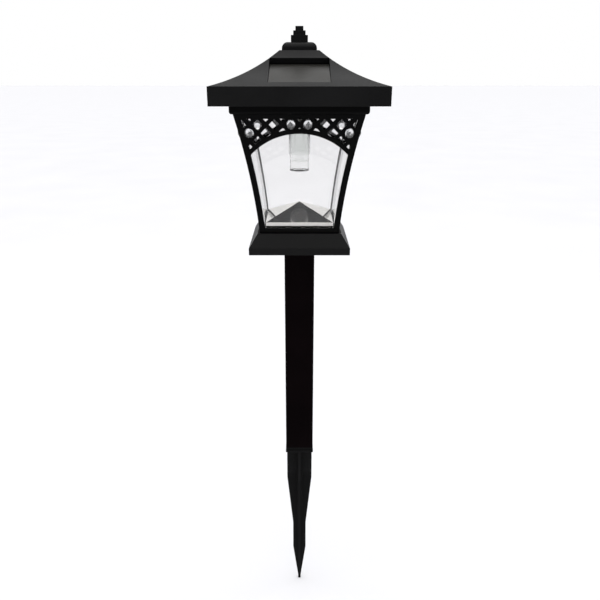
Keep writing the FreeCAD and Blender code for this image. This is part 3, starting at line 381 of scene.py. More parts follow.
def makeCellSilicon():
    # dark silicon with fine printed fingers across each strip and a slow tone change
    material, tree, shader, coords = newMaterial("cellSilicon")
    fingers = tree.nodes.new("ShaderNodeTexWave")
    fingers.bands_direction = "Y"
    fingers.inputs["Scale"].default_value = 180
    tree.links.new(coords, fingers.inputs["Vector"])
    slow = addNoise(tree, coords, 60)
    base = addRamp(tree, slow, [(0.3, (0.012, 0.013, 0.02)), (0.7, (0.022, 0.022, 0.026))])
    silver = addRamp(tree, fingers.outputs["Fac"], [(0.93, (0, 0, 0)), (0.99, (0.16, 0.16, 0.155))])
    added = tree.nodes.new("ShaderNodeMix")
    added.data_type = "RGBA"
    added.blend_type = "ADD"
    added.inputs["Factor"].default_value = 1
    tree.links.new(base, added.inputs["A"])
    tree.links.new(silver, added.inputs["B"])
    tree.links.new(added.outputs["Result"], shader.inputs["Base Color"])
    tree.links.new(addRange(tree, slow, 0.18, 0.3), shader.inputs["Roughness"])
    return material


def makeBoardLaminate():
    # green mask over copper tracks, which stand a little proud
    material, tree, shader, coords = newMaterial("boardLaminate")
    tracks = tree.nodes.new("ShaderNodeTexBrick")
    for socket, number in (("Scale", 420), ("Mortar Size", 0.08), ("Brick Width", 1.4), ("Row Height", 0.6)):
        tracks.inputs[socket].default_value = number
    tree.links.new(coords, tracks.inputs["Vector"])
    slow = addNoise(tree, coords, 120)
    mask = addRamp(tree, tracks.outputs["Fac"], [(0.4, (0.012, 0.1, 0.035)), (0.6, (0.03, 0.2, 0.07))])
    tree.links.new(mask, shader.inputs["Base Color"])
    tree.links.new(addRange(tree, slow, 0.22, 0.36), shader.inputs["Roughness"])
    addBump(tree, shader, tracks.outputs["Fac"], 0.4, 0.05)
    return material


def makeCellWrap():
    # shrink wrap of the rechargeable cell: one plain band at the plus end, faint lengthwise creases
    material, tree, shader, coords = newMaterial("cellWrap")
    split = tree.nodes.new("ShaderNodeSeparateXYZ")
    tree.links.new(coords, split.inputs["Vector"])
    bandLong, bandFade = 10, 0.2
    bandStart = (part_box("rechargeable_cell")[1].x / mm - bandLong) * mm
    band = addRange(tree, split.outputs["X"], 0, 1, bandStart, bandStart + bandFade * mm)
    creases = addNoise(tree, coords, 500, 3.0, (0.05, 1, 1))
    colours = addRamp(tree, band, [(0.4, (0.03, 0.16, 0.12)), (0.6, (0.55, 0.55, 0.52))])
    tree.links.new(colours, shader.inputs["Base Color"])
    tree.links.new(addRange(tree, creases, 0.2, 0.34), shader.inputs["Roughness"])
    addBump(tree, shader, creases, 0.2, 0.05)
    return material


cellSilicon = makeCellSilicon()
boardLaminate = makeBoardLaminate()
cellWrap = makeCellWrap()
print("materials ready")


# cage: four flared sides, each with a window under an arch and a lattice above it

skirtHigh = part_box("base_skirt")[1] / mm
sideLow, sideHigh = (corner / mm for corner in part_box("cage_side_front"))

cage = {
    "base": 221.0,
    "top": sideHigh.z,
    "baseHalf": 31.7,
    "topHalf": sideHigh.x,
    "curve": 565.0,
    "curveSteps": 64,
    "rings": 10,
    "wall": 2.6,
    "post": 4.6,
    "bottomRail": 4.0,
    "topRail": 3.1,
    "archRadius": 50.0,
    "archCrown": 298.9,
    "archBand": 3.5,
    "archSides": 180,
    # lattice: diamonds between crossing bars, in half pitches across and down from the top crossing
    "pitch": 12.24,
    "topCrossing": 305.3,
    "bar": 2.9,
    "rows": range(-1, 4),
    "columns": range(-7, 8),
    "spandrelRise": 10.0,  # how far above the arch's centre the lattice may start
    "beadCells": [(1, 0), (6, 1)],
    "beadWide": 7.2,
    "beadGap": 0.05,
    # stretches of Y that the cutters fill
    "windowCut": (-70, -5),
    "archCut": (-80, 0),
    "latticeCut": (-60, -20),
    "peg": 3.0,
    "pegSides": 32,
    "pegSpacing": 36.0,
    "pegOverlap": 1.0,
    "flatAngle": 0.4,
    "edge": 0.18,
}


def cageHalf(height):
    # half width of the cage's outside at a height
    foot, head = (cage["baseHalf"], cage["base"]), (cage["topHalf"], cage["top"])
    profile = arcPoints(foot, head, cage["curve"], cage["curveSteps"])
    tiny = 1e-6
    last = len(profile) - 1
    upper = next((n for n in range(1, last) if profile[n][1] >= height - tiny), last)
    (lowHalf, lowZ), (highHalf, highZ) = profile[upper - 1], profile[upper]
    share = (height - lowZ) / (highZ - lowZ)
    return lowHalf + (highHalf - lowHalf) * share


def cageRings(inset, low, high):
    # rings between two heights, inside the cage's outside by an inset
    count = cage["rings"]
    heights = [low + (high - low) * n / count for n in range(count + 1)]
    return [(cageHalf(height) - inset, height) for height in heights]


def beadPlaces():
    # (x, z) of the beads in the front side
    step = cage["pitch"] / 2
    return [
        (step * across * side, cage["topCrossing"] - step * down)
        for across, down in cage["beadCells"]
        for side in (-1, 1)
    ]


def makeSideBlank():
    # the front quarter of a square flared wall, mitred at both ends
    blank = ringSolid("cageSide", cageRings(0, cage["base"], cage["top"]))
    editPiece(blank)
    pickFaces(blank, alongZ)
    bpy.ops.mesh.delete(type="FACE")
    leaveEdit()
    applyModifier(blank, "SOLIDIFY", thickness=cage["wall"] * mm, offset=-1, use_even_offset=True)
    editPiece(blank)
    for normalX in (1, -1):
        bpy.ops.mesh.select_all(action="SELECT")
        bpy.ops.mesh.bisect(plane_co=(0, 0, 0), plane_no=(normalX, 1, 0), use_fill=True, clear_outer=True)
    leaveEdit()
    return blank


def cutWindow(side, low, high, archZ):
    window = ringSolid("window", cageRings(cage["post"], low, high), cage["windowCut"])
    front, back = cage["archCut"]
    arch = addRod("arch", cage["archRadius"], (0, front, archZ), (0, back, archZ), cage["archSides"])
    combine(window, arch, "INTERSECT")
    combine(side, window, "DIFFERENCE")


def cutLattice(side, high, archZ):
    # the diamonds are kept inside the spandrel, which lies between the arch band and the top rail
    low = archZ + cage["spandrelRise"]
    spandrel = ringSolid("spandrel", cageRings(cage["post"], low, high), cage["windowCut"])
    front, back = cage["archCut"]
    radius = cage["archRadius"] + cage["archBand"]
    band = addRod("band", radius, (0, front, archZ), (0, back, archZ), cage["archSides"])
    combine(spandrel, band, "DIFFERENCE")

    step = cage["pitch"] / 2
    half = (cage["pitch"] / math.sqrt(2) - cage["bar"]) / 2
    front, back = cage["latticeCut"]
    diamonds = []
    for down in cage["rows"]:
        for across in cage["columns"]:
            if (down + across) % 2 == 0 or (abs(across), down) in cage["beadCells"]:
                continue
            x, z = step * across, cage["topCrossing"] - step * down
            near, far = (x - half, front, z - half), (x + half, back, z + half)
            diamonds.append(addBox("diamond", near, far, (0, math.radians(45), 0)))
    openings = joinPieces(diamonds, "openings")
    combine(openings, spandrel, "INTERSECT")
    combine(side, openings, "DIFFERENCE")
    for x, z in beadPlaces():
        seat = addRod("seat", cage["beadWide"] / 2 + cage["beadGap"], (x, front, z), (x, back, z))
        combine(side, seat, "DIFFERENCE")


def addPegs(side):
    out, pegHigh = cage["baseHalf"] - cage["wall"] / 2, cage["base"] + cage["pegOverlap"]
    for x in (-cage["pegSpacing"] / 2, cage["pegSpacing"] / 2):
        peg = addRod("peg", cage["peg"] / 2, (x, -out, sideLow.z), (x, -out, pegHigh), cage["pegSides"])
        combine(side, peg, "UNION")


def makeCageSide():
    side = makeSideBlank()
    archZ = cage["archCrown"] - cage["archRadius"]
    high = cage["top"] - cage["topRail"]
    cutWindow(side, cage["base"] + cage["bottomRail"], high, archZ)
    cutLattice(side, high, archZ)
    addPegs(side)
    weld(side, cage["flatAngle"])
    softenEdges(side, cage["edge"], angle=40, clamp=False)
    smoothShade(side)
    return side


cageFront = makeCageSide()
for turn, (name, node) in enumerate((
    ("cageFront", "cage_side_front"), ("cageRight", "cage_side_right"),
    ("cageBack", "cage_side_back"), ("cageLeft", "cage_side_left"),
)):
    side = cageFront if turn == 0 else copyPiece(cageFront, name)
    side.rotation_euler.z = turn * math.pi / 2
    bakePlace(side, name)
    finishPiece(side, "lantern", framePlastic, "frame_plastic", node)


# beads: cut like a brilliant, with a flat table in front and a point behind

gem = {
    "girdle": 0.5,
    "sides": 16,
    "smoothAngle": 12,
    # how far each ring of facets stands out, and how much smaller it ends
    "crown": [(0.7, 0.86), (0.55, 0.7), (0.35, 0.72)],
    "pavilion": [(0.7, 0.86), (0.55, 0.7), (0.35, 0.6)],
}


def cutFacets(bead, centre, sign, facets):
    pickFaces(bead, lambda middle, normal: normal.y * sign > upright)
    for push, spread in facets:
        bpy.ops.mesh.extrude_region_move(TRANSFORM_OT_translate={"value": (0, sign * push * mm, 0)})
        bpy.ops.transform.resize(value=(spread, 1, spread), center_override=centre)


def makeBeads():
    half = gem["girdle"] / 2
    made = []
    for x, z in beadPlaces():
        y = -(cageHalf(z) - cage["wall"] / 4)
        bead = addRod("bead", cage["beadWide"] / 2, (x, y + half, z), (x, y - half, z), gem["sides"])
        editPiece(bead)
        centre = (x * mm, y * mm, z * mm)
        cutFacets(bead, centre, -1, gem["crown"])
        cutFacets(bead, centre, 1, gem["pavilion"])
        leaveEdit()
        made.append(bead)
    front = joinPieces(made, "beadsFront")
    sides = [front]
    for turn in (1, 2, 3):
        side = copyPiece(front, "beadsSide")
        side.rotation_euler.z = turn * math.pi / 2
        bakePlace(side, "beadsSide")
        sides.append(side)
    beads = joinPieces(sides, "latticeGems")
    smoothShade(beads, gem["smoothAngle"])
    finishPiece(beads, "lantern", beadPlastic, "bead_clear", "lattice_beads")


makeBeads()


# skirt: sloped, hollow below, with the lens seat on top and the plug for the tube

skirt = {
    "height": 16.0,
    "fascia": 5.6,
    "topHalf": 33.6,
    "wall": 2.0,
    "ledge": 0.2,
    "innerStep": 0.4,  # the hollow's shoulder is this much lower than the outside's
    "innerTopHalf": 31.2,
    "seatHalf": 28.6,
    "seatSink": 0.5,
    "plugHalf": 11.65,
    "plugWall": 2.2,
    "plugLength": 28.0,
    "plugSink": 0.2,
    "plugEdge": 0.3,
    "pegGap": 0.05,
    "pegReach": 4.0,
    "edge": 0.55,
    "edgeAngle": 12,
}


def makeSkirt():
    half, top, wall = skirtHigh.x, cage["base"], skirt["wall"]
    low = top - skirt["height"]
    shoulder = low + skirt["fascia"]
    outside = ringSolid("skirtBody", [(half, low), (half, shoulder)])
    editPiece(outside)
    pickFaces(outside, facingUp)
    bpy.ops.mesh.inset(thickness=skirt["ledge"] * mm)
    pushOut(top - shoulder, skirt["topHalf"] / (half - skirt["ledge"]), top)
    leaveEdit()
    softenEdges(outside, skirt["edge"], 3, skirt["edgeAngle"])
    innerShoulder, innerTop = shoulder - skirt["innerStep"], (skirt["innerTopHalf"], top - wall)
    hollow = [(half - wall, low - overrun), (half - wall, innerShoulder), innerTop]
    combine(outside, ringSolid("skirtHollow", hollow), "DIFFERENCE")
    seatHalf = skirt["seatHalf"]
    seatLow, seatHigh = top - skirt["seatSink"], skirtHigh.z
    combine(outside, addBox("seat", (-seatHalf, -seatHalf, seatLow), (seatHalf, seatHalf, seatHigh)), "UNION")

    plugHalf, plugHigh = skirt["plugHalf"], top - wall
    plugLow = plugHigh - skirt["plugLength"]
    bore = plugHalf - skirt["plugWall"]
    plug = addBox("plug", (-plugHalf, -plugHalf, plugLow), (plugHalf, plugHalf, plugHigh + skirt["plugSink"]))
    combine(plug, addBox("bore", (-bore, -bore, plugLow - overrun), (bore, bore, plugHigh)), "DIFFERENCE")
    softenEdges(plug, skirt["plugEdge"], angle=40)
    combine(outside, plug, "UNION")

    out, along = cage["baseHalf"] - cage["wall"] / 2, cage["pegSpacing"] / 2
    radius = cage["peg"] / 2 + skirt["pegGap"]
    holeLow, holeHigh = top - skirt["pegReach"], top + skirt["pegReach"]
    for sign in (-1, 1):
        for x, y in ((along, out * sign), (-along, out * sign), (out * sign, along), (out * sign, -along)):
            hole = addRod("pegHole", radius, (x, y, holeLow), (x, y, holeHigh), cage["pegSides"])
            combine(outside, hole, "DIFFERENCE")
    smoothShade(outside)
    finishPiece(outside, "lantern", skirtPlastic, "frame_plastic", "base_skirt")


makeSkirt()


# tube and stake

tubeLow, tubeHigh = (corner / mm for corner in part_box("post_tube"))
stakeLow, stakeHigh = (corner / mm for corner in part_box("ground_stake"))

post = {"corner": 1.2, "cornerSteps": 5, "wall": 0.8}

stake = {
    "flangeHalf": 13.05,
    "flange": 2.6,
    "flangeEdge": 0.7,
    "neckHalf": 12.3,
    "neck": 2.8,
    "neckEdge": 0.4,
    "plugHalf": 11.65,
    "plugWall": 2.2,
    "plugEdge": 0.3,
    "overlap": 0.5,
    "boreOver": 5.0,
    "fin": 2.6,
    # half width of the fins and of the core at each height, from the tip up
    "fins": [(0.7, -168.5), (6.45, -125.0), (6.45, -93.5), (12.1, -37.0), (12.1, 0.5)],
    "core": [(0.7, -168.5), (2.56, -125.0), (3.2, 0.5)],
    "edge": 0.3,
}


def makeTube():
    half = tubeHigh.x
    tube = addBox("squareTube", (-half, -half, tubeLow.z), (half, half, tubeHigh.z))
    editPiece(tube)
    pickEdges(tube, alongZ)
    bpy.ops.mesh.bevel(offset=post["corner"] * mm, segments=post["cornerSteps"])
    pickFaces(tube, alongZ)
    bpy.ops.mesh.delete(type="FACE")
    leaveEdit()
    applyModifier(tube, "SOLIDIFY", thickness=post["wall"] * mm, offset=-1, use_even_offset=True)
    smoothShade(tube)
    finishPiece(tube, "post", tubeCoat, "tube_metal", "post_tube")


def makeStake():
    fin = stake["fin"] / 2
    across = ringSolid("stakeBody", stake["fins"], (-fin, fin))
    along = copyPiece(across, "finAlong")
    along.rotation_euler.z = math.pi / 2
    bakePlace(along, "finAlong")
    combine(across, along, "UNION")
    combine(across, ringSolid("core", stake["core"]), "UNION")
    softenEdges(across, stake["edge"])

    half = stake["flangeHalf"]
    flange = addBox("flange", (-half, -half, 0), (half, half, stake["flange"]))
    softenEdges(flange, stake["flangeEdge"], 3)
    combine(across, flange, "UNION")

    half, neckLow = stake["neckHalf"], stake["flange"] - stake["overlap"]
    shoulder = stake["flange"] + stake["neck"]
    neck = addBox("neck", (-half, -half, neckLow), (half, half, shoulder))
    softenEdges(neck, stake["neckEdge"])
    combine(across, neck, "UNION")

    half, plugLow, plugHigh = stake["plugHalf"], shoulder - stake["overlap"], stakeHigh.z
    bore = half - stake["plugWall"]
    plug = addBox("plug", (-half, -half, plugLow), (half, half, plugHigh))
    boreHigh = plugHigh + stake["boreOver"]
    combine(plug, addBox("bore", (-bore, -bore, shoulder), (bore, bore, boreHigh)), "DIFFERENCE")
    softenEdges(plug, stake["plugEdge"], angle=40)
    combine(across, plug, "UNION")
    smoothShade(across)
    finishPiece(across, "stake", stakePlastic, "stake_plastic", "ground_stake")


makeTube()
makeStake()


# clear lens and the mirror on its floor

lens = {"low": 223.0, "high": 312.3, "gap": 0.2, "wall": 1.4, "corner": 2.4, "cornerSteps": 6}


def makeLens():
    rings = cageRings(cage["wall"] + lens["gap"], lens["low"], lens["high"])
    (half, low), (nextHalf, high) = rings[:2]
    shell = addBox("lensBox", (-half, -half, low), (half, half, high))
    editPiece(shell)
    pickEdges(shell, alongZ)
    bpy.ops.mesh.bevel(offset=lens["corner"] * mm, segments=lens["cornerSteps"])
    pickFaces(shell, facingUp)
    spread = nextHalf / half
    bpy.ops.transform.resize(value=(spread, spread, 1), center_override=(0, 0, high * mm))
    for before, after in zip(rings[1:], rings[2:]):
        pushOut(after[1] - before[1], after[0] / before[0], after[1])
    bpy.ops.mesh.delete(type="FACE")
    leaveEdit()
    applyModifier(shell, "SOLIDIFY", thickness=lens["wall"] * mm, offset=-1, use_even_offset=True)
    smoothShade(shell)
    finishPiece(shell, "lantern", clearPlastic, "clear_plastic", "clear_lens")


mirror = {
    "footHalf": 26.6,
    "lipHalf": 27.3,
    "foot": 1.1,
    "lip": 3.3,
    "wall": 1.2,
    "tipHalf": 0.1,
    "hollowTipHalf": 0.2,
    "tipThick": 1.6,
    "edge": 0.35,
    "edgeAngle": 20,
}


def makeMirror():
    low, high = (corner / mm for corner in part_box("mirror_pyramid"))
    lipLow = low.z + mirror["foot"]
    lipHigh = lipLow + mirror["lip"]
    body = ringSolid("mirrorPyramid", [(mirror["footHalf"], low.z), (mirror["footHalf"], lipLow)])
    editPiece(body)
    pickFaces(body, facingUp)
    pushOut(0, mirror["lipHalf"] / mirror["footHalf"], lipLow)
    pushOut(mirror["lip"], 1, lipHigh)
    pushOut(high.z - lipHigh, mirror["tipHalf"] / mirror["lipHalf"], high.z)
    bpy.ops.mesh.merge(type="CENTER")
    leaveEdit()
    weld(body)
    softenEdges(body, mirror["edge"], 3, mirror["edgeAngle"])
    half = mirror["footHalf"] - mirror["wall"]
    hollowTip = (mirror["hollowTipHalf"], high.z - mirror["tipThick"])
    hollow = ringSolid("hollow", [(half, low.z - overrun), (half, lipHigh), hollowTip])
    combine(body, hollow, "DIFFERENCE")
    smoothShade(body)
    finishPiece(body, "lantern", mirrorFilm, "mirror_metallised", "mirror_pyramid")


makeLens()
makeMirror()


# roof: concave pagoda shell with a recess for the panel in its front slope

roofLow, roofHigh = (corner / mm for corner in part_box("roof_shell"))

roof = {
    "fascia": 13.1,
    "topHalf": 15.0,
    "curve": 124.4,
    "ledge": 0.2,
    "wall": 2.0,
    "skin": 0.6,
    "rings": 22,
    "edge": 0.55,
    "edgeAngle": 14,
    "smoothAngle": 22,
    "bossSpacing": 107.0,
    "boss": 3.2,
    "bossLow": 322.4,
    "bossHigh": 350.0,
    "pilot": 1.2,
    "pilotSides": 24,
    "pilotLow": 320.0,
    "pilotHigh": 330.4,
    "finialHole": 3.1,
    "finialReach": 4.0,
}

panel = {
    "half": 22.0,
    "long": 33.4,
    "tilt": 22.1,
    "front": 54.0,
    "frontHeight": 334.4,
    "board": 1.0,
    "cell": 0.4,
    "cover": 0.8,
    "margin": 0.3,
    "gap": 0.2,
    "above": 2.1,
    "edge": 0.18,
    "bedOver": 8.0,
    "recessOver": 30.0,
    # the wires' hole through the bed: half width, where it lies up the slope, and how deep it goes
    "holeHalf": 7.0,
    "hole": (10.5, 16.5),
    "holeDeep": 8.0,
}


def tiltedBox(name, half, low, high, under, over):
    # a block on the panel's plane: low and high run up the slope, under and over stand off its face
    box = addBox(name, (-half, low, -under), (half, high, over))
    box.rotation_euler.x = math.radians(panel["tilt"])
    box.location = Vector((0, -panel["front"], panel["frontHeight"])) * mm
    return bakePlace(box, name)


def cornerPlaces(spacing):
    # (x, y) of four places in a square
    return [(spacing / 2 * a, spacing / 2 * b) for a in (-1, 1) for b in (-1, 1)]


def roofSlope(inset):
    # the concave slope, or one that follows the same centre further out, under its surface
    half, top = roofHigh.x, roofHigh.z
    eave, crest = (half - roof["ledge"], roofLow.z + roof["fascia"]), (roof["topHalf"], top)
    if inset:
        centreX, centreZ = arcCentre(eave, crest, roof["curve"])
        radius = roof["curve"] + inset
        eave = half - inset, centreZ - math.sqrt(radius ** 2 - (half - inset - centreX) ** 2)
        crest = centreX - math.sqrt(radius ** 2 - (top - inset - centreZ) ** 2), top - inset
    return arcPoints(eave, crest, roof["curve"] + inset, roof["rings"])


def makeRoofOutside():
    half, shoulder = roofHigh.x, roofLow.z + roof["fascia"]
    slope = roofSlope(0)
    outside = ringSolid("roofShell", [(half, roofLow.z), (half, shoulder)])
    editPiece(outside)
    pickFaces(outside, facingUp)
    bpy.ops.mesh.inset(thickness=roof["ledge"] * mm)
    for before, after in zip(slope, slope[1:]):
        pushOut(after[1] - before[1], after[0] / before[0], after[1])
    leaveEdit()
    softenEdges(outside, roof["edge"], 3, roof["edgeAngle"])
    return outside


def makeRoof():
    half, low, wall, skin = roofHigh.x, roofLow.z, roof["wall"], roof["skin"]
    outside = makeRoofOutside()
    combine(outside, ringSolid("roofHollow", [(half - wall, low - overrun), *roofSlope(wall)]), "DIFFERENCE")

    # the panel's bed and the screw bosses, kept under the slope's surface
    deep = panel["board"] + panel["cell"] + panel["cover"] + panel["gap"]
    wide, foot = panel["half"] + panel["margin"], -panel["margin"]
    head = panel["long"] + panel["above"] + panel["margin"]
    added = [tiltedBox("bed", wide + wall, foot - wall, head + wall, deep + wall, panel["bedOver"])]
    for x, y in cornerPlaces(roof["bossSpacing"]):
        added.append(addRod("boss", roof["boss"], (x, y, roof["bossLow"]), (x, y, roof["bossHigh"])))
    inside = joinPieces(added, "roofInside")
    combine(inside, ringSolid("roofLimit", [(half - skin, low), *roofSlope(skin)]), "INTERSECT")
    combine(outside, inside, "UNION")

    cuts = [
        tiltedBox("recess", wide, foot, head, deep, panel["recessOver"]),
        tiltedBox("wireHole", panel["holeHalf"], *panel["hole"], panel["holeDeep"], 0),
    ]
    holeLow, holeHigh = roofHigh.z - roof["finialReach"], roofHigh.z + roof["finialReach"]
    cuts.append(addRod("finialHole", roof["finialHole"], (0, 0, holeLow), (0, 0, holeHigh)))
    for x, y in cornerPlaces(roof["bossSpacing"]):
        start, end = (x, y, roof["pilotLow"]), (x, y, roof["pilotHigh"])
        cuts.append(addRod("pilot", roof["pilot"], start, end, roof["pilotSides"]))
    for cut in cuts:
        combine(outside, cut, "DIFFERENCE")
    smoothShade(outside, roof["smoothAngle"])
    finishPiece(outside, "solar_head", roofPlastic, "roof_plastic", "roof_shell")


finial = {
    "capHalf": 13.2,
    "cap": 5.9,
    "shoulder": 4.6,
    "shoulderSteps": 8,
    # half width and height of each step
    "steps": [(6.45, 5.1), (4.7, 3.3), (3.05, 3.2)],
    "edge": 0.3,
    "smoothAngle": 35,
    "peg": 3.0,
    "pegLength": 2.0,
    "pegSink": 1.0,
    "pilotDepth": 7.0,
}


def makeFinial():
    low = roofHigh.z
    half, top = finial["capHalf"], low + finial["cap"]
    body = addBox("finialTop", (-half, -half, low), (half, half, top))
    editPiece(body)
    pickEdges(body, lambda middle, run: middle.z > top - nearly)
    bpy.ops.mesh.bevel(offset=finial["shoulder"] * mm, segments=finial["shoulderSteps"])
    pickFaces(body, lambda middle, normal: normal.z > 0.99 and middle.z > top - nearly)
    width = half - finial["shoulder"]
    for stepHalf, rise in finial["steps"]:
        bpy.ops.mesh.inset(thickness=(width - stepHalf) * mm)
        pushOut(rise, 1, top + rise)
        width, top = stepHalf, top + rise
    leaveEdit()
    softenEdges(body, finial["edge"], angle=40)
    pegLow, pegHigh = low - finial["pegLength"], low + finial["pegSink"]
    combine(body, addRod("peg", finial["peg"], (0, 0, pegLow), (0, 0, pegHigh)), "UNION")
    start, end = (0, 0, pegLow - overrun), (0, 0, low + finial["pilotDepth"])
    combine(body, addRod("pilot", roof["pilot"], start, end, roof["pilotSides"]), "DIFFERENCE")
    smoothShade(body, finial["smoothAngle"])
    finishPiece(body, "solar_head", roofPlastic, "roof_plastic", "finial")


def makePanelCover():
    cover = tiltedBox("panelWindow", panel["half"], 0, panel["long"], panel["cover"], 0)
    softenEdges(cover, panel["edge"])
    smoothShade(cover)
    finishPiece(cover, "solar_head", panelPotting, "panel_glass", "panel_cover")


makeRoof()
makeFinial()
makePanelCover()


# light unit: a clear sleeve with a closed clear cup inside it

lightUnit = {
    "floor": 314.7,
    "sleeve": 8.75,
    "sleeveWall": 0.65,
    "sleeveLow": 280.0,
    "sleeveFlange": 11.0,
    "cup": 7.95,
    "cupWall": 1.0,
    "cupLow": 266.6,
    "cupFlange": 9.95,
    "cupFloor": 7.6,
    "dishRadius": 11.0,
    "dishDepth": 2.4,
    "dishRings": 64,
    "flange": 1.0,
    "sides": 72,
    "sleeveEdge": 0.15,
    "cupEdge": 0.2,
}


def flangedRod(name, radius, low, high, flange):
    # a rod with a thin flange round its top
    thick = lightUnit["flange"]
    rod = addRod(name, radius, (0, 0, low), (0, 0, high), lightUnit["sides"])
    editPiece(rod)
    pickFaces(rod, facingUp)
    bpy.ops.transform.translate(value=(0, 0, -thick * mm))
    pushOut(0, flange / radius, high - thick)
    pushOut(thick)
    leaveEdit()
    return rod


def boreOut(piece, radius, low, high):
    combine(piece, addRod("bore", radius, (0, 0, low), (0, 0, high), lightUnit["sides"]), "DIFFERENCE")


def makeSleeve():
    unit = lightUnit
    low, high = unit["sleeveLow"], unit["floor"] + unit["flange"]
    sleeve = flangedRod("lightSleeve", unit["sleeve"], low, high, unit["sleeveFlange"])
    boreOut(sleeve, unit["sleeve"] - unit["sleeveWall"], low - overrun, high + overrun)
    softenEdges(sleeve, unit["sleeveEdge"], angle=40)
    smoothShade(sleeve)
    finishPiece(sleeve, "solar_head", tubeClear, "light_tube", "led_sleeve")


def makeCup():
    # its flange lies on the sleeve's, and a round dish is cut into its thick floor from below
    unit = lightUnit
    low, high = unit["cupLow"], unit["floor"] + 2 * unit["flange"]
    cup = flangedRod("lightCup", unit["cup"], low, high, unit["cupFlange"])
    boreOut(cup, unit["cup"] - unit["cupWall"], low + unit["cupFloor"], high + overrun)
    dishMiddle = low + unit["dishDepth"] - unit["dishRadius"]
    bpy.ops.object.select_all(action="DESELECT")
    bpy.ops.mesh.primitive_uv_sphere_add(
        segments=unit["sides"], ring_count=unit["dishRings"], radius=unit["dishRadius"] * mm,
        location=(0, 0, dishMiddle * mm),
    )
    combine(cup, bakePlace(bpy.context.object, "dish"), "DIFFERENCE")
    softenEdges(cup, unit["cupEdge"], angle=40)
    smoothShade(cup)
    finishPiece(cup, "solar_head", tubeClear, "light_tube", "led_cup")


makeSleeve()
makeCup()


# parts taken from the frame's own shape, with their edges softened


refined = {"flatAngle": 2, "trayEdge": 0.25, "doorEdge": 0.12}


def refine(node, name, body, edge):
    piece = copyPiece(nodes[node], name)
    for key in list(piece.keys()):
        del piece[key]
    makeActive(piece)
    bpy.ops.object.parent_clear(type="CLEAR_KEEP_TRANSFORM")
    piece.data.materials.clear()
    weld(piece, refined["flatAngle"])
    softenEdges(piece, edge)
    smoothShade(piece)
    finishPiece(piece, body, framePlastic, "frame_plastic", node)


refine("roof_tray", "roofTray", "solar_head", refined["trayEdge"])
refine("battery_door", "batteryDoor", "door", refined["doorEdge"])


# finishes of the frame's own nodes

nodeFinish = {
    "finial_screw": screwZinc,
    "roof_screws": screwZinc,
    "board_screws": screwZinc,
    "panel_board": boardLaminate,
    "circuit_board": boardLaminate,
    "solar_cells": cellSilicon,
    "led": ledResin,
    "control_chip": chipMould,
    "inductor": ferriteCore,
    "slide_switch": switchPlastic,
    "switch_knob": switchPlastic,
    "rechargeable_cell": cellWrap,
    "contact_plate": nickelPlate,
    "contact_spring": nickelPlate,
    "panel_wire_red": redInsulation,
    "cell_wire_red": redInsulation,
    "panel_wire_black": blackInsulation,
    "cell_wire_black": blackInsulation,
}

for node, material in nodeFinish.items():
    nodes[node].data.materials.clear()
    nodes[node].data.materials.append(material)
print("finished", len(nodeFinish), "frame nodes")


# floor, light and camera

studio = {
    "floorSize": 400.0,
    "backdrop": 1.0,
    "fillLow": 0.08,
    "fillHigh": 0.5,
    "dome": 3.0,
    "domeSpread": 110.0,
    "domeHeight": 2.0,
    "rim": 1.2,
    "rimSize": 0.7,
    "rimPlace": (1.2, 0.5, 0.7),
    "rimTarget": (0, 0, 0.3),
}

# stands close, a little above the lantern, and looks down at it
view = {
    "place": (0, -0.4881, 0.3333),
    "down": 20.37,
    "sensor": 36.0,
    "lens": 34.92,
    "shift": 0.001,
}


def makeFloor():
    bpy.ops.object.select_all(action="DESELECT")
    bpy.ops.mesh.primitive_plane_add(size=studio["floorSize"], location=(0, 0, stakeLow.z * mm))
    floor = bpy.context.object
    floor.name = "floor"
    floor.data.materials.append(floorPaper)


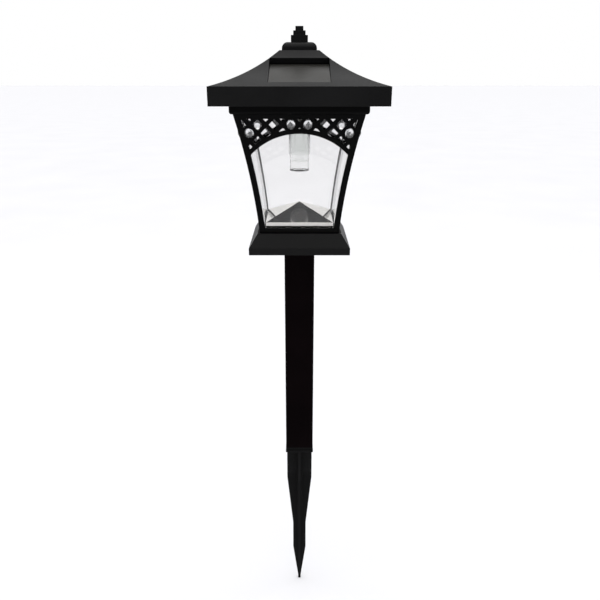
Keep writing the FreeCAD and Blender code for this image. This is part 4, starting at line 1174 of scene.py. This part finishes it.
def makeWorld():
    # even white seen directly and through the clear parts, a softer grey for all other light
    world = bpy.data.worlds.new("studio")
    bpy.context.scene.world = world
    world.use_nodes = True
    tree = world.node_tree
    tree.nodes.clear()
    rays = tree.nodes.new("ShaderNodeLightPath")
    direct = tree.nodes.new("ShaderNodeMath")
    direct.operation = "MAXIMUM"
    tree.links.new(rays.outputs["Is Camera Ray"], direct.inputs[0])
    tree.links.new(rays.outputs["Is Transmission Ray"], direct.inputs[1])
    seen = tree.nodes.new("ShaderNodeBackground")
    seen.inputs["Strength"].default_value = studio["backdrop"]
    seen.inputs["Color"].default_value = (1, 1, 1, 1)
    fill = tree.nodes.new("ShaderNodeBackground")
    coords = tree.nodes.new("ShaderNodeTexCoord")
    height = tree.nodes.new("ShaderNodeSeparateXYZ")
    tree.links.new(coords.outputs["Generated"], height.inputs["Vector"])
    rise = addRange(tree, height.outputs["Z"], studio["fillLow"], studio["fillHigh"], 0, 1)
    tree.links.new(rise, fill.inputs["Strength"])
    both = tree.nodes.new("ShaderNodeMixShader")
    output = tree.nodes.new("ShaderNodeOutputWorld")
    tree.links.new(direct.outputs[0], both.inputs[0])
    tree.links.new(fill.outputs[0], both.inputs[1])
    tree.links.new(seen.outputs[0], both.inputs[2])
    tree.links.new(both.outputs[0], output.inputs["Surface"])


def addRim(name, side):
    # a square soft light behind the lamp, on the left or the right
    bpy.ops.object.select_all(action="DESELECT")
    across, back, height = studio["rimPlace"]
    place, size = Vector((across * side, back, height)), studio["rimSize"]
    aim = (Vector(studio["rimTarget"]) - place).to_track_quat("-Z", "Y").to_euler()
    bpy.ops.object.light_add(type="AREA", location=place, rotation=aim)
    light = bpy.context.object
    light.name = name
    light.data.shape = "SQUARE"
    light.data.size = size
    light.data.energy = studio["rim"] * size * size * math.pi
    light.visible_camera = False
    light.visible_transmission = False


def addDome():
    # a wide soft light straight above, the same all over the floor
    bpy.ops.object.select_all(action="DESELECT")
    bpy.ops.object.light_add(type="SUN", location=(0, 0, studio["domeHeight"]))
    light = bpy.context.object
    light.name = "dome"
    light.data.energy = studio["dome"]
    light.data.angle = math.radians(studio["domeSpread"])


def makeCamera():
    bpy.ops.object.select_all(action="DESELECT")
    tilt = math.radians(90 - view["down"])
    bpy.ops.object.camera_add(location=view["place"], rotation=(tilt, 0, 0))
    camera = bpy.context.object
    camera.name = "camera"
    camera.data.sensor_width = view["sensor"]
    camera.data.lens = view["lens"]
    camera.data.shift_x = view["shift"]
    camera.data.dof.use_dof = False
    bpy.context.scene.camera = camera


makeFloor()
makeWorld()
addDome()
addRim("leftRim", -1)
addRim("rightRim", 1)
makeCamera()
bpy.context.scene.view_settings.view_transform = "Standard"
print("studio ready")
